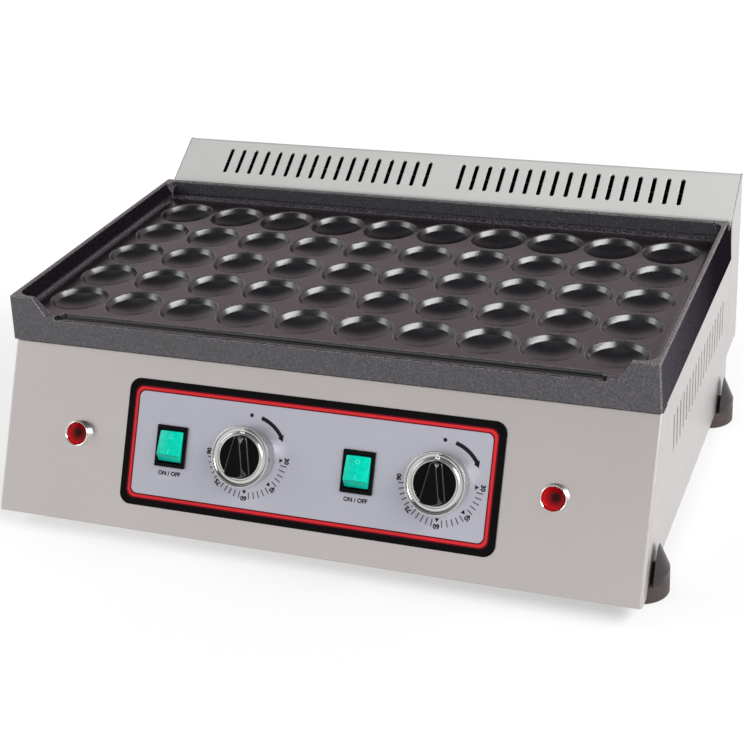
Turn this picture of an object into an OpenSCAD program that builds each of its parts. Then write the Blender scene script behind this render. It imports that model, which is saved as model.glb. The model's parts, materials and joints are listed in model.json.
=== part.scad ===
// Two-zone electric mini pancake maker: cast dimple plate on a folded steel body.
// Millimetres, +Z up, X to the right seen from the front, Y to the back.
// The origin lies on the floor below the middle of the outline.

/* [Cooking plate] */
// Dimples from left to right
dimple_cols = 10; // [10:2:14]
// Dimples from front to back
dimple_rows = 5; // [5:1:7]
// Distance between neighbouring dimple centres
dimple_pitch = 48.5; // [48:0.5:54]
// Diameter of a dimple at its mouth
dimple_d = 45; // [38:0.5:45.5]
// Depth of a dimple below the web
dimple_depth = 8; // [7.5:0.5:10]
// Slope of a dimple's wall at its mouth, in degrees
dimple_slope = 62; // [58:1:66]
// Radius of the sphere that a dimple's floor is dished to
dimple_dish = 56; // [44:1:80]
// Radius of the flat spot in the middle of a dimple's floor
dimple_flat = 2; // [1:0.5:4]
// Casting left under the dimple floors
plate_floor = 4.5; // [3.5:0.5:7]
// Small bevel along the edges of the casting
plate_edge = 0.8; // [0.4:0.1:1.2]
// Outer dimple centres to the side walls at the rim
plate_side = 35; // [32:0.5:45]
// Front face to the centres of the first dimple row
plate_front = 39.6; // [37:0.2:50]
// Last dimple row to the back wall at the rim
plate_back = 37.5; // [34:0.5:48]
// Height of the tray walls above the web
wall_h = 15; // [11:0.5:22]
// Width of the rim on top of the tray walls
rim_t = 3.8; // [3:0.2:6]
// Inward slope of a tray wall from its rim to its cove
tray_draft = 3; // [1:0.5:5]
// Radius of the cove between the web and the tray walls
cove_r = 5; // [2:0.5:7]
// Radius of the inner corners of the tray
tray_corner = 14; // [8:1:20]
// Height of the web above the lower edge of the skirt
skirt_h = 22.5; // [20.5:0.5:32]
// Wall of the skirt
skirt_t = 4.5; // [3.5:0.5:5.5]
// Outward slope of each side of the casting from its rim down
plate_draft = 2; // [0.5:0.5:4]
// Width of the two front corner posts at the rim
post_w = 20; // [16:1:30]
// Run of the slope from a corner post down to the web
post_run = 9.5; // [4:0.5:14]
// Depth of the ledge behind the back wall
ledge_d = 12; // [9:1:18]
// Drop of that ledge below the rim
ledge_drop = 8; // [5:0.5:10]
// Front face to the middle of the drain groove
groove_y = 6.4; // [5.8:0.1:9]
// Radius of the drain groove's round section
groove_r = 3; // [2.6:0.1:3.2]
// End of the drain groove to the foot of a corner post
groove_end = 12; // [10:0.5:20]
// Drop of the front lip below the web
lip_drop = 2.2; // [1:0.1:2.4]
// End of the lowered lip to the foot of a corner post
lip_end = 8; // [6:0.5:9.5]

/* [Body] */
// Height of the body panels
body_h = 122; // [114:1:150]
// Backward lean of the front panel, in degrees
front_lean = 26.4; // [20:0.2:30]
// How far the plate stands out in front of the front panel's top edge
plate_overhang = 3; // [1:0.5:6]
// Dark gap between the panels and the plate
plate_gap = 2; // [1:0.5:4]
// Gap between the plate and the flue
rear_gap = 2.7; // [1.5:0.1:5]
// Thickness of the folded steel sheet
sheet_t = 1; // [0.8:0.1:1.2]
// Outer radius of the sheet's bends
bend_r = 2.2; // [1.6:0.1:3]
// Width of the front panel's returns round the side panels
front_return = 14; // [10:0.5:18]
// Width of the inward flanges along the panels' lower edges
edge_flange = 15; // [14:0.5:18]
// Drop of the plate rails below the top of the body
rail_leg = 22; // [20:0.5:23]
// Sheet of the plate rails
rail_t = 1.5; // [1.2:0.1:2]
// Width of the ledge that the plate rests on
rail_ledge = 14; // [13:0.5:16]
// Height of the heat shield's turned-up sides
shield_edge = 12; // [8:1:15]

/* [Flue] */
// Depth of the flue behind the body
flue_d = 46; // [42:1:60]
// Flat strip along the top of the flue
flue_flat = 4.2; // [3:0.2:8]
// Slope of the slotted face, in degrees
flue_slope = 31.5; // [26:0.5:38]
// Height of the slotted face's lower edge above the web
flue_lip = 10; // [6:0.5:13]
// Height of the flue's underside above the body's lower edge
flue_bottom = 32.5; // [31:0.5:60]
// Overlap of the flue cover down the back of the rear panel
flue_lap = 20; // [14:1:30]
// Slots in each of the two groups
flue_slots = 17; // [8:1:18]
// Length of a flue slot
flue_slot_len = 28; // [18:1:32]
// Clear middle between the inner slots of the two groups
flue_slot_gap = 31.2; // [24:0.2:50]

/* [Vents] */
// Distance between neighbouring slots
slot_pitch = 12.2; // [9:0.1:12.8]
// Width of a slot
slot_w = 3.8; // [3:0.1:5]
// Slots in each side panel
vent_count = 18; // [8:1:18]
// Length of a side slot
vent_len = 32; // [20:1:36]
// Top of the body to the upper ends of the side slots
vent_drop = 24.3; // [24.1:0.1:32]
// Top edge of the front panel to the first side slot
vent_front = 48; // [36:1:52]

/* [Control fascia] */
// Width of the fascia
fascia_w = 303; // [292:1:320]
// Height of the fascia along the slope
fascia_h = 98; // [84:1:108]
// Corner radius of the fascia
fascia_corner = 9; // [4:0.5:14]
// Thickness of the fascia
fascia_t = 1; // [0.6:0.1:1.4]
// Panel's top edge to the line of the controls, down the slope
control_drop = 67.5; // [62:0.5:72]
// Shift of the fascia, its controls and the lamps to the left of the middle
front_shift = 1.4; // [0:0.2:4]
// Distance between the middles of the two control pairs
zone_pitch = 153.4; // [146:0.2:156]
// Further shift of both control pairs to the left
zone_shift = 2.4; // [0:0.2:4]
// Switch centre to knob centre
switch_to_knob = 64; // [58:0.5:68]
// Switch centre below the knob's centre line
switch_drop = 0.6; // [0:0.1:2]

/* [Rocker switches] */
// Width of a switch bezel
bezel_w = 25; // [24.6:0.1:28]
// Height of a switch bezel
bezel_h = 32; // [30.5:0.1:34]
// Height of a bezel above the fascia
bezel_t = 2; // [1.4:0.1:2.6]
// Corner radius of a bezel
bezel_corner = 0.8; // [0.4:0.1:1.6]
// Width of a switch body behind the panel
switch_w = 21.6; // [21:0.1:22.6]
// Height of a switch body behind the panel
switch_h = 28.2; // [27.8:0.1:29]
// Depth of a switch body behind the panel
switch_d = 26; // [20:0.5:34]
// Width of a rocker
rocker_w = 19.2; // [16:0.1:19.4]
// Length of a rocker across its noses
rocker_len = 25.2; // [22:0.1:25.4]
// Length of a rocker's flat face
rocker_face = 16; // [12:0.5:18]
// Height of the face above the rocker's pivot
rocker_rise = 7.4; // [6:0.1:8]
// Depth of the pivot below the panel's outer face
pivot_depth = 1.5; // [1:0.1:2.5]
// Radius of the rocker's pivot pins
pivot_r = 1.4; // [1:0.1:1.8]
// Travel of a rocker, in degrees
rocker_throw = 24; // [16:1:26]
// Length of a spade terminal
spade_len = 8; // [6:0.5:10]

/* [Knobs] */
// Diameter of the chrome ring
ring_d = 46.5; // [44:0.5:50]
// Step in of the ring's foot from its front edge
ring_taper = 1.5; // [0:0.1:2]
// Height of the chrome ring
ring_h = 15; // [12:0.5:17]
// Diameter of the black grip
grip_d = 32; // [30:0.5:35]
// Height of the finger bar above the ring
grip_bar = 9; // [6:0.5:10]
// Width of the finger bar at its pointer end
bar_narrow = 3.4; // [2.6:0.1:6]
// Width of the finger bar at its blunt end
bar_wide = 15.8; // [12:0.1:18]
// Gap between a knob and the fascia
knob_gap = 0.6; // [0.4:0.1:1.2]

/* [Thermostats] */
// Width of a thermostat housing
stat_w = 42; // [36:1:46]
// Height of a thermostat housing
stat_h = 38; // [32:1:42]
// Depth of a thermostat housing
stat_d = 24; // [18:1:30]
// Thickness of its fixing plate
stat_plate = 1.5; // [1:0.1:2]
// Radius of its bushing
bushing_r = 5; // [4.5:0.1:5.4]
// Radius of its shaft
shaft_r = 3; // [2.5:0.1:3.2]
// Distance between its two screws
stat_screws = 28; // [25:0.5:29]
// Radius of the sensor bulb
bulb_r = 3; // [2.5:0.1:3.4]
// Length of the sensor bulb
bulb_len = 80; // [60:1:96]
// Radius of the capillary tube
capillary_r = 1; // [0.8:0.1:1.4]
// Width of the clips that hold the bulbs
clip_w = 12; // [8:1:16]
// Length of a clip's flat foot
clip_foot = 9; // [7:0.5:12]

/* [Pilot lamps] */
// Lamp centre to the side of the body
lamp_inset = 67.7; // [50:0.1:74]
// Foot diameter of the chrome bezel
lamp_d = 21; // [20.5:0.5:24]
// Height of the chrome bezel
lamp_h = 7.5; // [6:0.5:9]
// Diameter of the bezel's front rim
lamp_rim = 19.6; // [19:0.2:20.4]
// Width of the rim's flat edge
rim_flat = 0.8; // [0.5:0.1:1]
// Diameter of the red lens
lens_d = 16; // [14:0.2:16.4]
// Depth of the lens edge behind the rim
lens_recess = 2; // [1:0.1:2.4]
// Rise of the lens crown above its edge
lens_rise = 1; // [0.4:0.1:1.4]
// Diameter of the lamp body behind the panel
lamp_body_d = 11.6; // [10:0.2:12]
// Length of the lamp body behind the panel
lamp_len = 30; // [24:1:36]

/* [Heating] */
// Radius of the heating tube
tube_r = 4.2; // [3.2:0.1:4.4]
// Distance between neighbouring runs of a heating tube
tube_pitch = 56; // [54:0.5:58]
// Half length of a straight run
tube_run = 80; // [79:0.5:88]
// Radius of the downward bends at a tube's ends
tube_bend = 12; // [10:0.5:14]
// Length of a tube's ends below the heat shield
tube_end = 14; // [8:1:20]
// Width of a clamp bar
clamp_w = 14; // [13:0.5:18]
// Thickness of a clamp bar
clamp_t = 3; // [2:0.5:4]
// Radius of the clamp studs and plate bolts
stud_r = 3; // [2.5:0.1:3.1]
// Height of their nuts and heads
nut_h = 5; // [4:0.5:5.5]

/* [Feet] */
// Diameter of a foot
foot_d = 42.6; // [38:0.2:48]
// Height of a foot under the body
foot_h = 13; // [11:0.5:20]
// Height of a foot's upright outer side
foot_side = 19; // [15:0.5:26]
// Height of the fin beside the body
foot_tip = 39; // [30:0.5:48]
// Foot axis to the side of the body
foot_inset = 11; // [9:0.5:12.5]
// Gap between a fin and the body
fin_gap = 2; // [1:0.1:4]
// Front edge of the body to the front feet's axis
foot_front = 45.8; // [42:0.2:60]
// Rear panel to the rear feet's axis
foot_rear = 28.9; // [24:0.1:44]
// Radius of a foot screw
foot_screw_r = 2.5; // [2:0.1:3]
// Length of a foot screw inside the body
foot_screw_in = 7; // [6:0.5:10]
// Radius of the base screws' heads
base_head_r = 3.5; // [3:0.1:4]
// Length of a base screw behind the sheets
base_screw_in = 5; // [4:0.5:8]

/* [Cable entry] */
// Distance of the gland from the right side of the body
gland_inset = 80; // [60:1:120]
// Height of the gland above the body's lower edge
gland_up = 17; // [16:0.5:18]
// Radius of the gland's bore for a cord
gland_bore = 4.2; // [3:0.1:5]
// Radius of the gland's thread
gland_thread = 7.8; // [7:0.1:8.4]
// Across-corners radius of the gland's hexagons
gland_hex = 12; // [11:0.5:13]
// Height of the terminal block
terminal_h = 18; // [14:1:24]
// Depth of the terminal block
terminal_d = 24; // [20:1:28]
// Distance between its poles
terminal_pitch = 12; // [10:0.5:14]
// Poles of the terminal block
terminal_poles = 5; // [3:1:5]
// Rear panel to the front of the terminal block
terminal_back = 70; // [60:1:90]
// Gland to the near end of the terminal block
terminal_side = 20; // [12:1:30]

/* [Fits] */
// Running clearance between a shaft or pin and its bore, on the radius
run_fit = 0.05; // [0.03:0.01:0.08]
// Clearance of a fixed piece in its opening
seat_fit = 0.2; // [0.15:0.05:0.3]
// Clearance between a moving piece and its surroundings
move_fit = 0.4; // [0.35:0.05:0.6]
// Visible seam between two panels
seam = 0.5; // [0.3:0.1:1]

/* [Hidden] */
$fn = 64;
cut = 1;
steel = [0.75, 0.74, 0.72];
dark = [0.16, 0.15, 0.17];
chrome = [0.85, 0.85, 0.87];

grid_w = (dimple_cols - 1) * dimple_pitch;
grid_d = (dimple_rows - 1) * dimple_pitch;
rim_in = grid_w / 2 + plate_side;
rim_out = rim_in + rim_t;
half_w = rim_out + plate_draft;
panel_out = half_w - sheet_t;
panel_in = panel_out - sheet_t;

lean_run = body_h * tan(front_lean);
slope_len = body_h / cos(front_lean);
plate_d = plate_front + grid_d + plate_back + rim_t + ledge_d;
total_d = lean_run - plate_overhang + plate_d + rear_gap + flue_d;
y_front = -total_d / 2;
y_top = y_front + lean_run;
y_plate = y_top - plate_overhang;
y_grid = y_plate + plate_front;
y_mid = y_grid + grid_d / 2;
y_wall = y_grid + grid_d + plate_back;
y_plate_end = y_plate + plate_d;
y_rear = y_plate_end + rear_gap;
y_back = y_rear + flue_d;

z_body = foot_h;
z_top = z_body + body_h;
z_skirt = z_top + plate_gap;
z_web = z_skirt + skirt_h;
z_rim = z_web + wall_h;
z_slab = z_web - dimple_depth - plate_floor;
z_lip = z_web + flue_lip;
z_flue = z_lip + (flue_d - flue_flat) * tan(flue_slope);
z_under = z_body + flue_bottom;
z_shield = z_top - rail_leg;
z_tray = z_body + sheet_t;
z_inside = z_tray + sheet_t;

post_in = rim_out - post_w;
mouth = post_in - post_run;
skirt_in = half_w - skirt_t;
riser = skirt_in - 2.5;
bolt_x = riser - rail_ledge / 2;
bolt_y = [y_mid - dimple_pitch, y_mid + dimple_pitch];
bolt_hole = 8;
rail_front = y_top + edge_flange + 1;
rail_rear = y_rear - edge_flange - 1;

control_up = slope_len - control_drop;
switch_up = control_up - switch_drop;
zone_x = [-front_shift - zone_shift - zone_pitch / 2, zone_pitch / 2 - front_shift - zone_shift];
switch_x = [zone_x[0] - switch_to_knob / 2, zone_x[1] - switch_to_knob / 2];
knob_x = [zone_x[0] + switch_to_knob / 2, zone_x[1] + switch_to_knob / 2];
lamp_x = [lamp_inset - half_w - front_shift, half_w - lamp_inset - front_shift];
lean_skip = (bend_r + seam) / cos(front_lean);
screw_head = 2.2;
grip_floor = fascia_t + knob_gap + screw_head;

heat_x = dimple_pitch * dimple_cols / 4;
z_tube = z_slab - tube_r;
z_clamp = z_slab - 2 * tube_r;
clamp_x = 1.5 * dimple_pitch;
clamp_y = 1.5 * dimple_pitch;
stud_hole = 8;
bulb_y = y_mid + tube_pitch;
capillary_x = bulb_len / 2 + 8;

foot_x = half_w - foot_inset;
fin_x = half_w + fin_gap;
foot_y = [y_front + foot_front, y_rear - foot_rear];
gland_x = half_w - gland_inset;
gland_z = z_body + gland_up;
tray_half = panel_in - sheet_t - seat_fit;
tray_front = y_front + (2 * sheet_t) * tan(front_lean) + sheet_t / cos(front_lean) + seat_fit;
tray_rear = y_rear - sheet_t - seat_fit;

// Unit vector from one point of an outline to the next
function way(a, b) = (b - a) / norm(b - a);

// Normal on the left of the way from one point to the next
function left_of(a, b) = [-way(a, b)[1], way(a, b)[0]];

// Point of an outline moved inwards by a sheet's thickness
function inner_point(p, i, t) =
    i == 0 ? p[0] + t * left_of(p[0], p[1]) :
    i == len(p) - 1 ? p[i] + t * left_of(p[i - 1], p[i]) :
    let (m = left_of(p[i - 1], p[i]), n = left_of(p[i], p[i + 1]))
    p[i] + t * (m + n) / (1 + m * n);

// Closed outline of a folded sheet that lies on the left of its outer line
function sheet(p, t) = concat(p, [for (i = [len(p) - 1:-1:0]) inner_point(p, i, t)]);

// Points of one bend of radius r at the corner b between a and c
function bend_at(a, b, c, r) =
    let (u = way(b, a), v = way(b, c))
    let (half = acos(u * v) / 2)
    let (mid = b + (u + v) / norm(u + v) * r / sin(half))
    let (s = b + u * r / tan(half) - mid, e = b + v * r / tan(half) - mid)
    [for (k = [0:4])
        mid + r * (s * (4 - k) + e * k) / norm(s * (4 - k) + e * k)];

// Outer line of a folded sheet with its inner corners bent to radius r
function bent(p, r) = concat(
    [p[0]],
    [for (i = [1:len(p) - 2]) each bend_at(p[i - 1], p[i], p[i + 1], r)],
    [p[len(p) - 1]]);

// Point of the front panel's frame in the frame of the whole object
function front_point(x, up, out) = [
    x,
    y_front + up * sin(front_lean) - out * cos(front_lean),
    z_body + up * cos(front_lean) + out * sin(front_lean)];

// Extrudes an X-Z outline from y to y + d
module along_y(y, d) {
    translate([0, y + d, 0])
        rotate([90, 0, 0])
            linear_extrude(d)
                children();
}

// Extrudes a Y-Z outline from x to x + w
module along_x(x, w) {
    translate([x, 0, 0])
        rotate([90, 0, 90])
            linear_extrude(w)
                children();
}

// Places children on the front panel: Y up its slope, Z out of it
module on_front(x, up) {
    translate([x, y_front, z_body])
        rotate([90 - front_lean, 0, 0])
            translate([0, up, 0])
                children();
}

// Mirrors children to the left for side = -1
module side_of(side) {
    mirror([side < 0 ? 1 : 0, 0, 0])
        children();
}

// Slot with round ends along Y, cut through the sheet at z = 0
module slot(len, w) {
    translate([-w / 2, w / 2 - len / 2, -3])
        cube([w, len - w, 6]);
    for (s = [-1, 1])
        translate([0, s * (len - w) / 2, -3])
            cylinder(h = 6, d = w);
}

// Plate with round corners lying on z = 0
module round_plate(w, d, h, r) {
    linear_extrude(h) {
        square([w - 2 * r, d], center = true);
        square([w, d - 2 * r], center = true);
        for (x = [-1, 1], y = [-1, 1])
            translate([x * (w / 2 - r), y * (d / 2 - r)])
                circle(r);
    }
}

// Round rod between two points
module rod(a, b, r) {
    v = b - a;
    translate(a)
        rotate([0, acos(v[2] / norm(v)), atan2(v[1], v[0])])
            cylinder(h = norm(v), r = r);
}

// Outline of the tray across one direction, for walls that stand at +-half at the rim
module tray_outline(half) {
    foot = half - tray_draft - cove_r;
    side = concat(
        [for (a = [0:15:90]) [foot + cove_r * sin(a), z_web + cove_r * (1 - cos(a))]],
        [[half - tray_draft * plate_edge / wall_h, z_rim - plate_edge]],
        [[half + plate_edge, z_rim], [half + plate_edge, z_rim + cut]]);
    last = len(side) - 1;
    polygon(concat(side, [for (i = [last:-1:0]) [-side[i][0], side[i][1]]]));
}

// Block of the casting with drafted sides and bevelled outer edges
module plate_block() {
    slant = atan(plate_draft / (skirt_h + wall_h));
    bevel = plate_edge * sqrt(2);
    difference() {
        along_y(y_plate, plate_d)
            polygon([[-half_w, z_skirt], [half_w, z_skirt], [rim_out, z_rim - plate_edge],
                [rim_out - plate_edge, z_rim], [plate_edge - rim_out, z_rim],
                [-rim_out, z_rim - plate_edge]]);
        for (s = [-1, 1], y = [y_plate, y_plate_end])
            translate([s * half_w, y, z_skirt])
                rotate([0, -s * slant, 0])
                    rotate([0, 0, 45])
                        cube([bevel, bevel, 2 * (skirt_h + wall_h + cut)], center = true);
        translate([0, y_plate, z_rim])
            rotate([45, 0, 0])
                cube([3 * half_w, bevel, bevel], center = true);
        translate([-half_w - cut, y_wall + rim_t, z_rim - ledge_drop])
            cube([2 * half_w + 2 * cut, ledge_d + cut, ledge_drop + cut]);
    }
}

// Space of the tray above the web
module plate_tray() {
    y_in = y_plate + rim_t;
    mid = (y_in + y_wall) / 2;
    half = (y_wall - y_in) / 2;
    intersection() {
        along_y(y_plate - cut, plate_d)
            tray_outline(rim_in);
        along_x(-half_w, 2 * half_w)
            translate([mid, 0])
                tray_outline(half);
        translate([0, mid, z_web - cut])
            round_plate(2 * (rim_in + plate_edge), 2 * (half + plate_edge), wall_h + 3 * cut,
                tray_corner);
    }
    along_y(y_plate - cut, cut + rim_t + tray_draft + cove_r + cut)
        polygon([[-mouth, z_web], [mouth, z_web], [post_in, z_rim], [post_in, z_rim + cut],
            [-post_in, z_rim + cut], [-post_in, z_rim]]);
}

// One dimple below z = 0: bevelled mouth, rounded steep wall, dished floor with a flat spot
module dimple() {
    r = dimple_d / 2;
    bevel = 0.6 * plate_edge;
    wall_up = r / tan(dimple_slope) - bevel;
    dish_up = dimple_dish - dimple_depth;
    spot = dish_up - sqrt(dimple_dish * dimple_dish - dimple_flat * dimple_flat);
    rotate_extrude() {
        intersection() {
            translate([0, dish_up])
                circle(dimple_dish);
            translate([0, wall_up])
                circle(r / sin(dimple_slope));
            translate([0, spot])
                square([r + plate_edge, cut - spot]);
        }
        polygon([[r - 1, cut], [r - 1, -0.6 * (plate_edge + 1)], [r + plate_edge, 0], [r + plate_edge, cut]]);
    }
}

// Centres of the studs that hold the heaters, on the crossings between dimples
module at_studs() {
    for (zone = [-1, 1], x = [-1, 1], y = [-1, 1])
        translate([zone * heat_x + x * clamp_x, y_mid + y * clamp_y, 0])
            children();
}

// Centres of the bolts that hold the plate on its rails
module at_bolts() {
    for (s = [-1, 1], y = bolt_y)
        translate([s * bolt_x, y + dimple_pitch / 2, 0])
            children();
}

module cooking_plate() {
    color(dark)
    difference() {
        plate_block();
        plate_tray();
        translate([-skirt_in, y_plate + skirt_t, z_skirt - cut])
            cube([2 * skirt_in, plate_d - 2 * skirt_t, z_slab - z_skirt + cut]);
        for (i = [0:dimple_cols - 1], j = [0:dimple_rows - 1])
            translate([i * dimple_pitch - grid_w / 2, y_grid + j * dimple_pitch, z_web])
                dimple();
        translate([groove_end - mouth, y_plate + groove_y, z_web - groove_r / 6])
            rotate([0, 90, 0])
                cylinder(h = 2 * (mouth - groove_end), r = groove_r);
        along_x(lip_end - mouth, 2 * (mouth - lip_end))
            polygon([[y_plate - cut, z_web + cut], [y_plate - cut, z_web - lip_drop - plate_edge],
                [y_plate, z_web - lip_drop - plate_edge], [y_plate + plate_edge, z_web - lip_drop],
                [y_plate + groove_y - groove_r / 2, z_web - lip_drop],
                [y_plate + groove_y - groove_r / 2, z_web + cut]]);
        translate([0, 0, z_slab - cut])
            at_studs()
                cylinder(h = stud_hole + cut, r = stud_r + seat_fit);
        translate([0, 0, z_slab - cut])
            at_bolts()
                cylinder(h = bolt_hole + cut, r = stud_r + seat_fit);
    }
}

// Openings of the front panel for switches, thermostats and lamps
module front_openings() {
    for (x = switch_x)
        on_front(x, switch_up)
            cube([switch_w + 2 * seat_fit, switch_h + 2 * seat_fit, 8], center = true);
    for (x = knob_x)
        on_front(x, control_up) {
            cylinder(h = 8, r = bushing_r + seat_fit, center = true);
            for (s = [-1, 1])
                translate([s * stat_screws / 2, 0, 0])
                    cylinder(h = 8, r = 2 + seat_fit, center = true);
        }
    for (x = lamp_x)
        on_front(x, control_up)
            cylinder(h = 8, d = lamp_body_d + 2 * seat_fit, center = true);
}

module front_panel() {
    color(steel)
    difference() {
        union() {
            intersection() {
                on_front(0, -20)
                    along_y(0, slope_len + 40)
                        polygon(sheet(bent([[-half_w, -front_return], [-half_w, 0], [half_w, 0],
                            [half_w, -front_return]], bend_r), -sheet_t));
                translate([-half_w - cut, y_front - cut, z_body])
                    cube([2 * half_w + 2 * cut, total_d, body_h]);
            }
            along_x(seat_fit - panel_in, 2 * panel_in - 2 * seat_fit)
                polygon([[y_front + sheet_t / 2, z_body], [y_front + edge_flange, z_body],
                    [y_front + edge_flange, z_tray],
                    [y_front + sheet_t / 2 + sheet_t * tan(front_lean), z_tray]]);
            along_x(seat_fit - panel_in, 2 * panel_in - 2 * seat_fit)
                polygon([[y_top + sheet_t / 2, z_top], [y_top + edge_flange, z_top],
                    [y_top + edge_flange, z_top - sheet_t],
                    [y_top + sheet_t / 2 - sheet_t * tan(front_lean), z_top - sheet_t]]);
        }
        front_openings();
        for (x = [-1, 1])
            translate([x * half_w / 2, y_front + edge_flange / 2 + 1, z_body])
                cylinder(h = 8, r = 2 + seat_fit, center = true);
    }
}

// Side panel on the right with its lower flange and vents
module side_panel() {
    difference() {
        intersection() {
            along_y(y_front, y_rear - y_front)
                polygon(sheet(bent([[panel_out - edge_flange, z_body], [panel_out, z_body],
                    [panel_out, z_top]], bend_r), sheet_t));
            along_x(0, half_w)
                polygon([[y_front + lean_skip, z_body - cut], [y_front + lean_skip, z_body],
                    [y_top + lean_skip, z_top], [y_rear - seam, z_top],
                    [y_rear - seam, z_body - cut]]);
        }
        translate([0, y_front - cut, z_body - cut])
            cube([panel_in, cut + edge_flange + seam, cut + 2 * bend_r]);
        translate([0, y_rear - edge_flange - seam, z_body - cut])
            cube([panel_in, edge_flange + 2 * seam, cut + 2 * bend_r]);
        for (i = [0:vent_count - 1])
            translate([panel_in, y_top + vent_front + i * slot_pitch,
                    z_top - vent_drop - vent_len / 2])
                rotate([90, 0, 90])
                    slot(vent_len, slot_w);
        for (y = foot_y)
            translate([foot_x, y, z_body])
                cylinder(h = 8, r = foot_screw_r + seat_fit, center = true);
    }
}

module left_side_panel() {
    color(steel)
        side_of(-1)
            side_panel();
}

module right_side_panel() {
    color(steel)
        side_panel();
}

module rear_panel() {
    color(steel)
    difference() {
        union() {
            translate([0, 0, z_body])
                linear_extrude(body_h)
                    polygon(sheet([[panel_in, y_rear - edge_flange], [panel_in, y_rear],
                        [-panel_in, y_rear], [-panel_in, y_rear - edge_flange]], sheet_t));
            translate([-panel_in, y_rear - edge_flange, z_body])
                cube([2 * panel_in, edge_flange, sheet_t]);
        }
        translate([gland_x, y_rear, gland_z])
            rotate([90, 0, 0])
                cylinder(h = 8, r = gland_thread + seat_fit, center = true);
        for (i = [0:flue_slots - 1], s = [-1, 1])
            translate([s * (flue_slot_gap / 2 + i * slot_pitch), y_rear, z_under + 24])
                rotate([90, 0, 0])
                    slot(flue_slot_len, slot_w);
        for (x = [-1, 1])
            translate([x * half_w / 2, y_rear - edge_flange / 2, z_body])
                cylinder(h = 8, r = 2 + seat_fit, center = true);
    }
}

module base_tray() {
    color(steel)
    difference() {
        translate([-tray_half, tray_front, z_tray])
            cube([2 * tray_half, tray_rear - tray_front, sheet_t]);
        for (i = [-5:5], s = [-1, 1])
            translate([i * 2 * slot_pitch, s * total_d / 8, z_tray])
                slot(2 * vent_len, slot_w);
        for (s = [-1, 1], y = foot_y)
            translate([s * foot_x, y, z_tray])
                cylinder(h = 8, r = foot_screw_r + seat_fit, center = true);
        for (x = [-1, 1], y = [y_front + edge_flange / 2 + 1, y_rear - edge_flange / 2])
            translate([x * half_w / 2, y, z_tray])
                cylinder(h = 8, r = 2 + seat_fit, center = true);
    }
}

// Outer line of the flue from its front lap over the slotted face to its back
function flue_line(low) = [[y_rear, low], [y_rear, z_lip], [y_back - flue_flat, z_flue],
    [y_back, z_flue], [y_back, z_flue - flue_lap]];

module flue_cover() {
    color(steel)
    difference() {
        along_x(-panel_in, 2 * panel_in)
            polygon(sheet(bent(flue_line(z_top - flue_lap), bend_r), -sheet_t));
        for (i = [0:flue_slots - 1], s = [-1, 1])
            translate([s * (flue_slot_gap / 2 + i * slot_pitch), y_rear, z_lip])
                rotate([flue_slope, 0, 0])
                    translate([0, (flue_d - flue_flat) / cos(flue_slope) / 2 + 1.5, 0])
                        slot(flue_slot_len, slot_w);
    }
}

module flue_back() {
    color(steel)
        along_x(-panel_in, 2 * panel_in)
            polygon(sheet(bent([[y_back - sheet_t, z_flue - flue_lap / 2],
                [y_back - sheet_t, z_flue - flue_lap - seam],
                [y_back, z_flue - flue_lap - seam - 2 * sheet_t], [y_back, z_under],
                [y_rear, z_under], [y_rear, z_under + flue_lap / 2]], sheet_t), -sheet_t));
}

// Closing plate of the flue on the right
module flue_end() {
    along_x(panel_in, sheet_t)
        polygon([[y_rear, z_under], [y_rear, z_lip], [y_back - flue_flat, z_flue],
            [y_back, z_flue], [y_back, z_under]]);
}

module flue_left_end() {
    color(steel)
        side_of(-1)
            flue_end();
}

module flue_right_end() {
    color(steel)
        flue_end();
}

// Rail on the right that carries the plate on its bent-up ledge
module support_rail() {
    difference() {
        along_y(rail_front, rail_rear - rail_front)
            polygon(sheet([[panel_in, z_shield], [panel_in, z_top], [riser, z_top],
                [riser, z_slab], [riser - rail_ledge, z_slab]], rail_t));
        translate([0, 0, z_slab])
            at_bolts()
                cylinder(h = 8, r = stud_r + seat_fit, center = true);
    }
}

module left_support_rail() {
    color(steel)
        side_of(-1)
            support_rail();
}

module right_support_rail() {
    color(steel)
        support_rail();
}

module heat_shield() {
    side = panel_in - rail_t;
    color(chrome)
    difference() {
        along_y(rail_front, rail_rear - rail_front)
            polygon(sheet(bent([[-side, z_shield + shield_edge], [-side, z_shield],
                [side, z_shield], [side, z_shield + shield_edge]], bend_r), sheet_t));
        for (zone = [-1, 1], y = [-1.5, 1.5])
            translate([zone * heat_x - tube_run - tube_bend, y_mid + y * tube_pitch, z_shield])
                cylinder(h = 8, r = tube_r + 4, center = true);
        for (zone = [-1, 1])
            translate([zone * heat_x - capillary_x, bulb_y, z_shield])
                cylinder(h = 8, r = capillary_r + 3, center = true);
    }
}

module plate_bolts() {
    color(chrome)
        at_bolts()
            translate([0, 0, z_slab - rail_t]) {
                cylinder(h = rail_t + bolt_hole - 1, r = stud_r);
                translate([0, 0, -nut_h])
                    cylinder(h = nut_h, r = 1.8 * stud_r, $fn = 6);
            }
}

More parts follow.
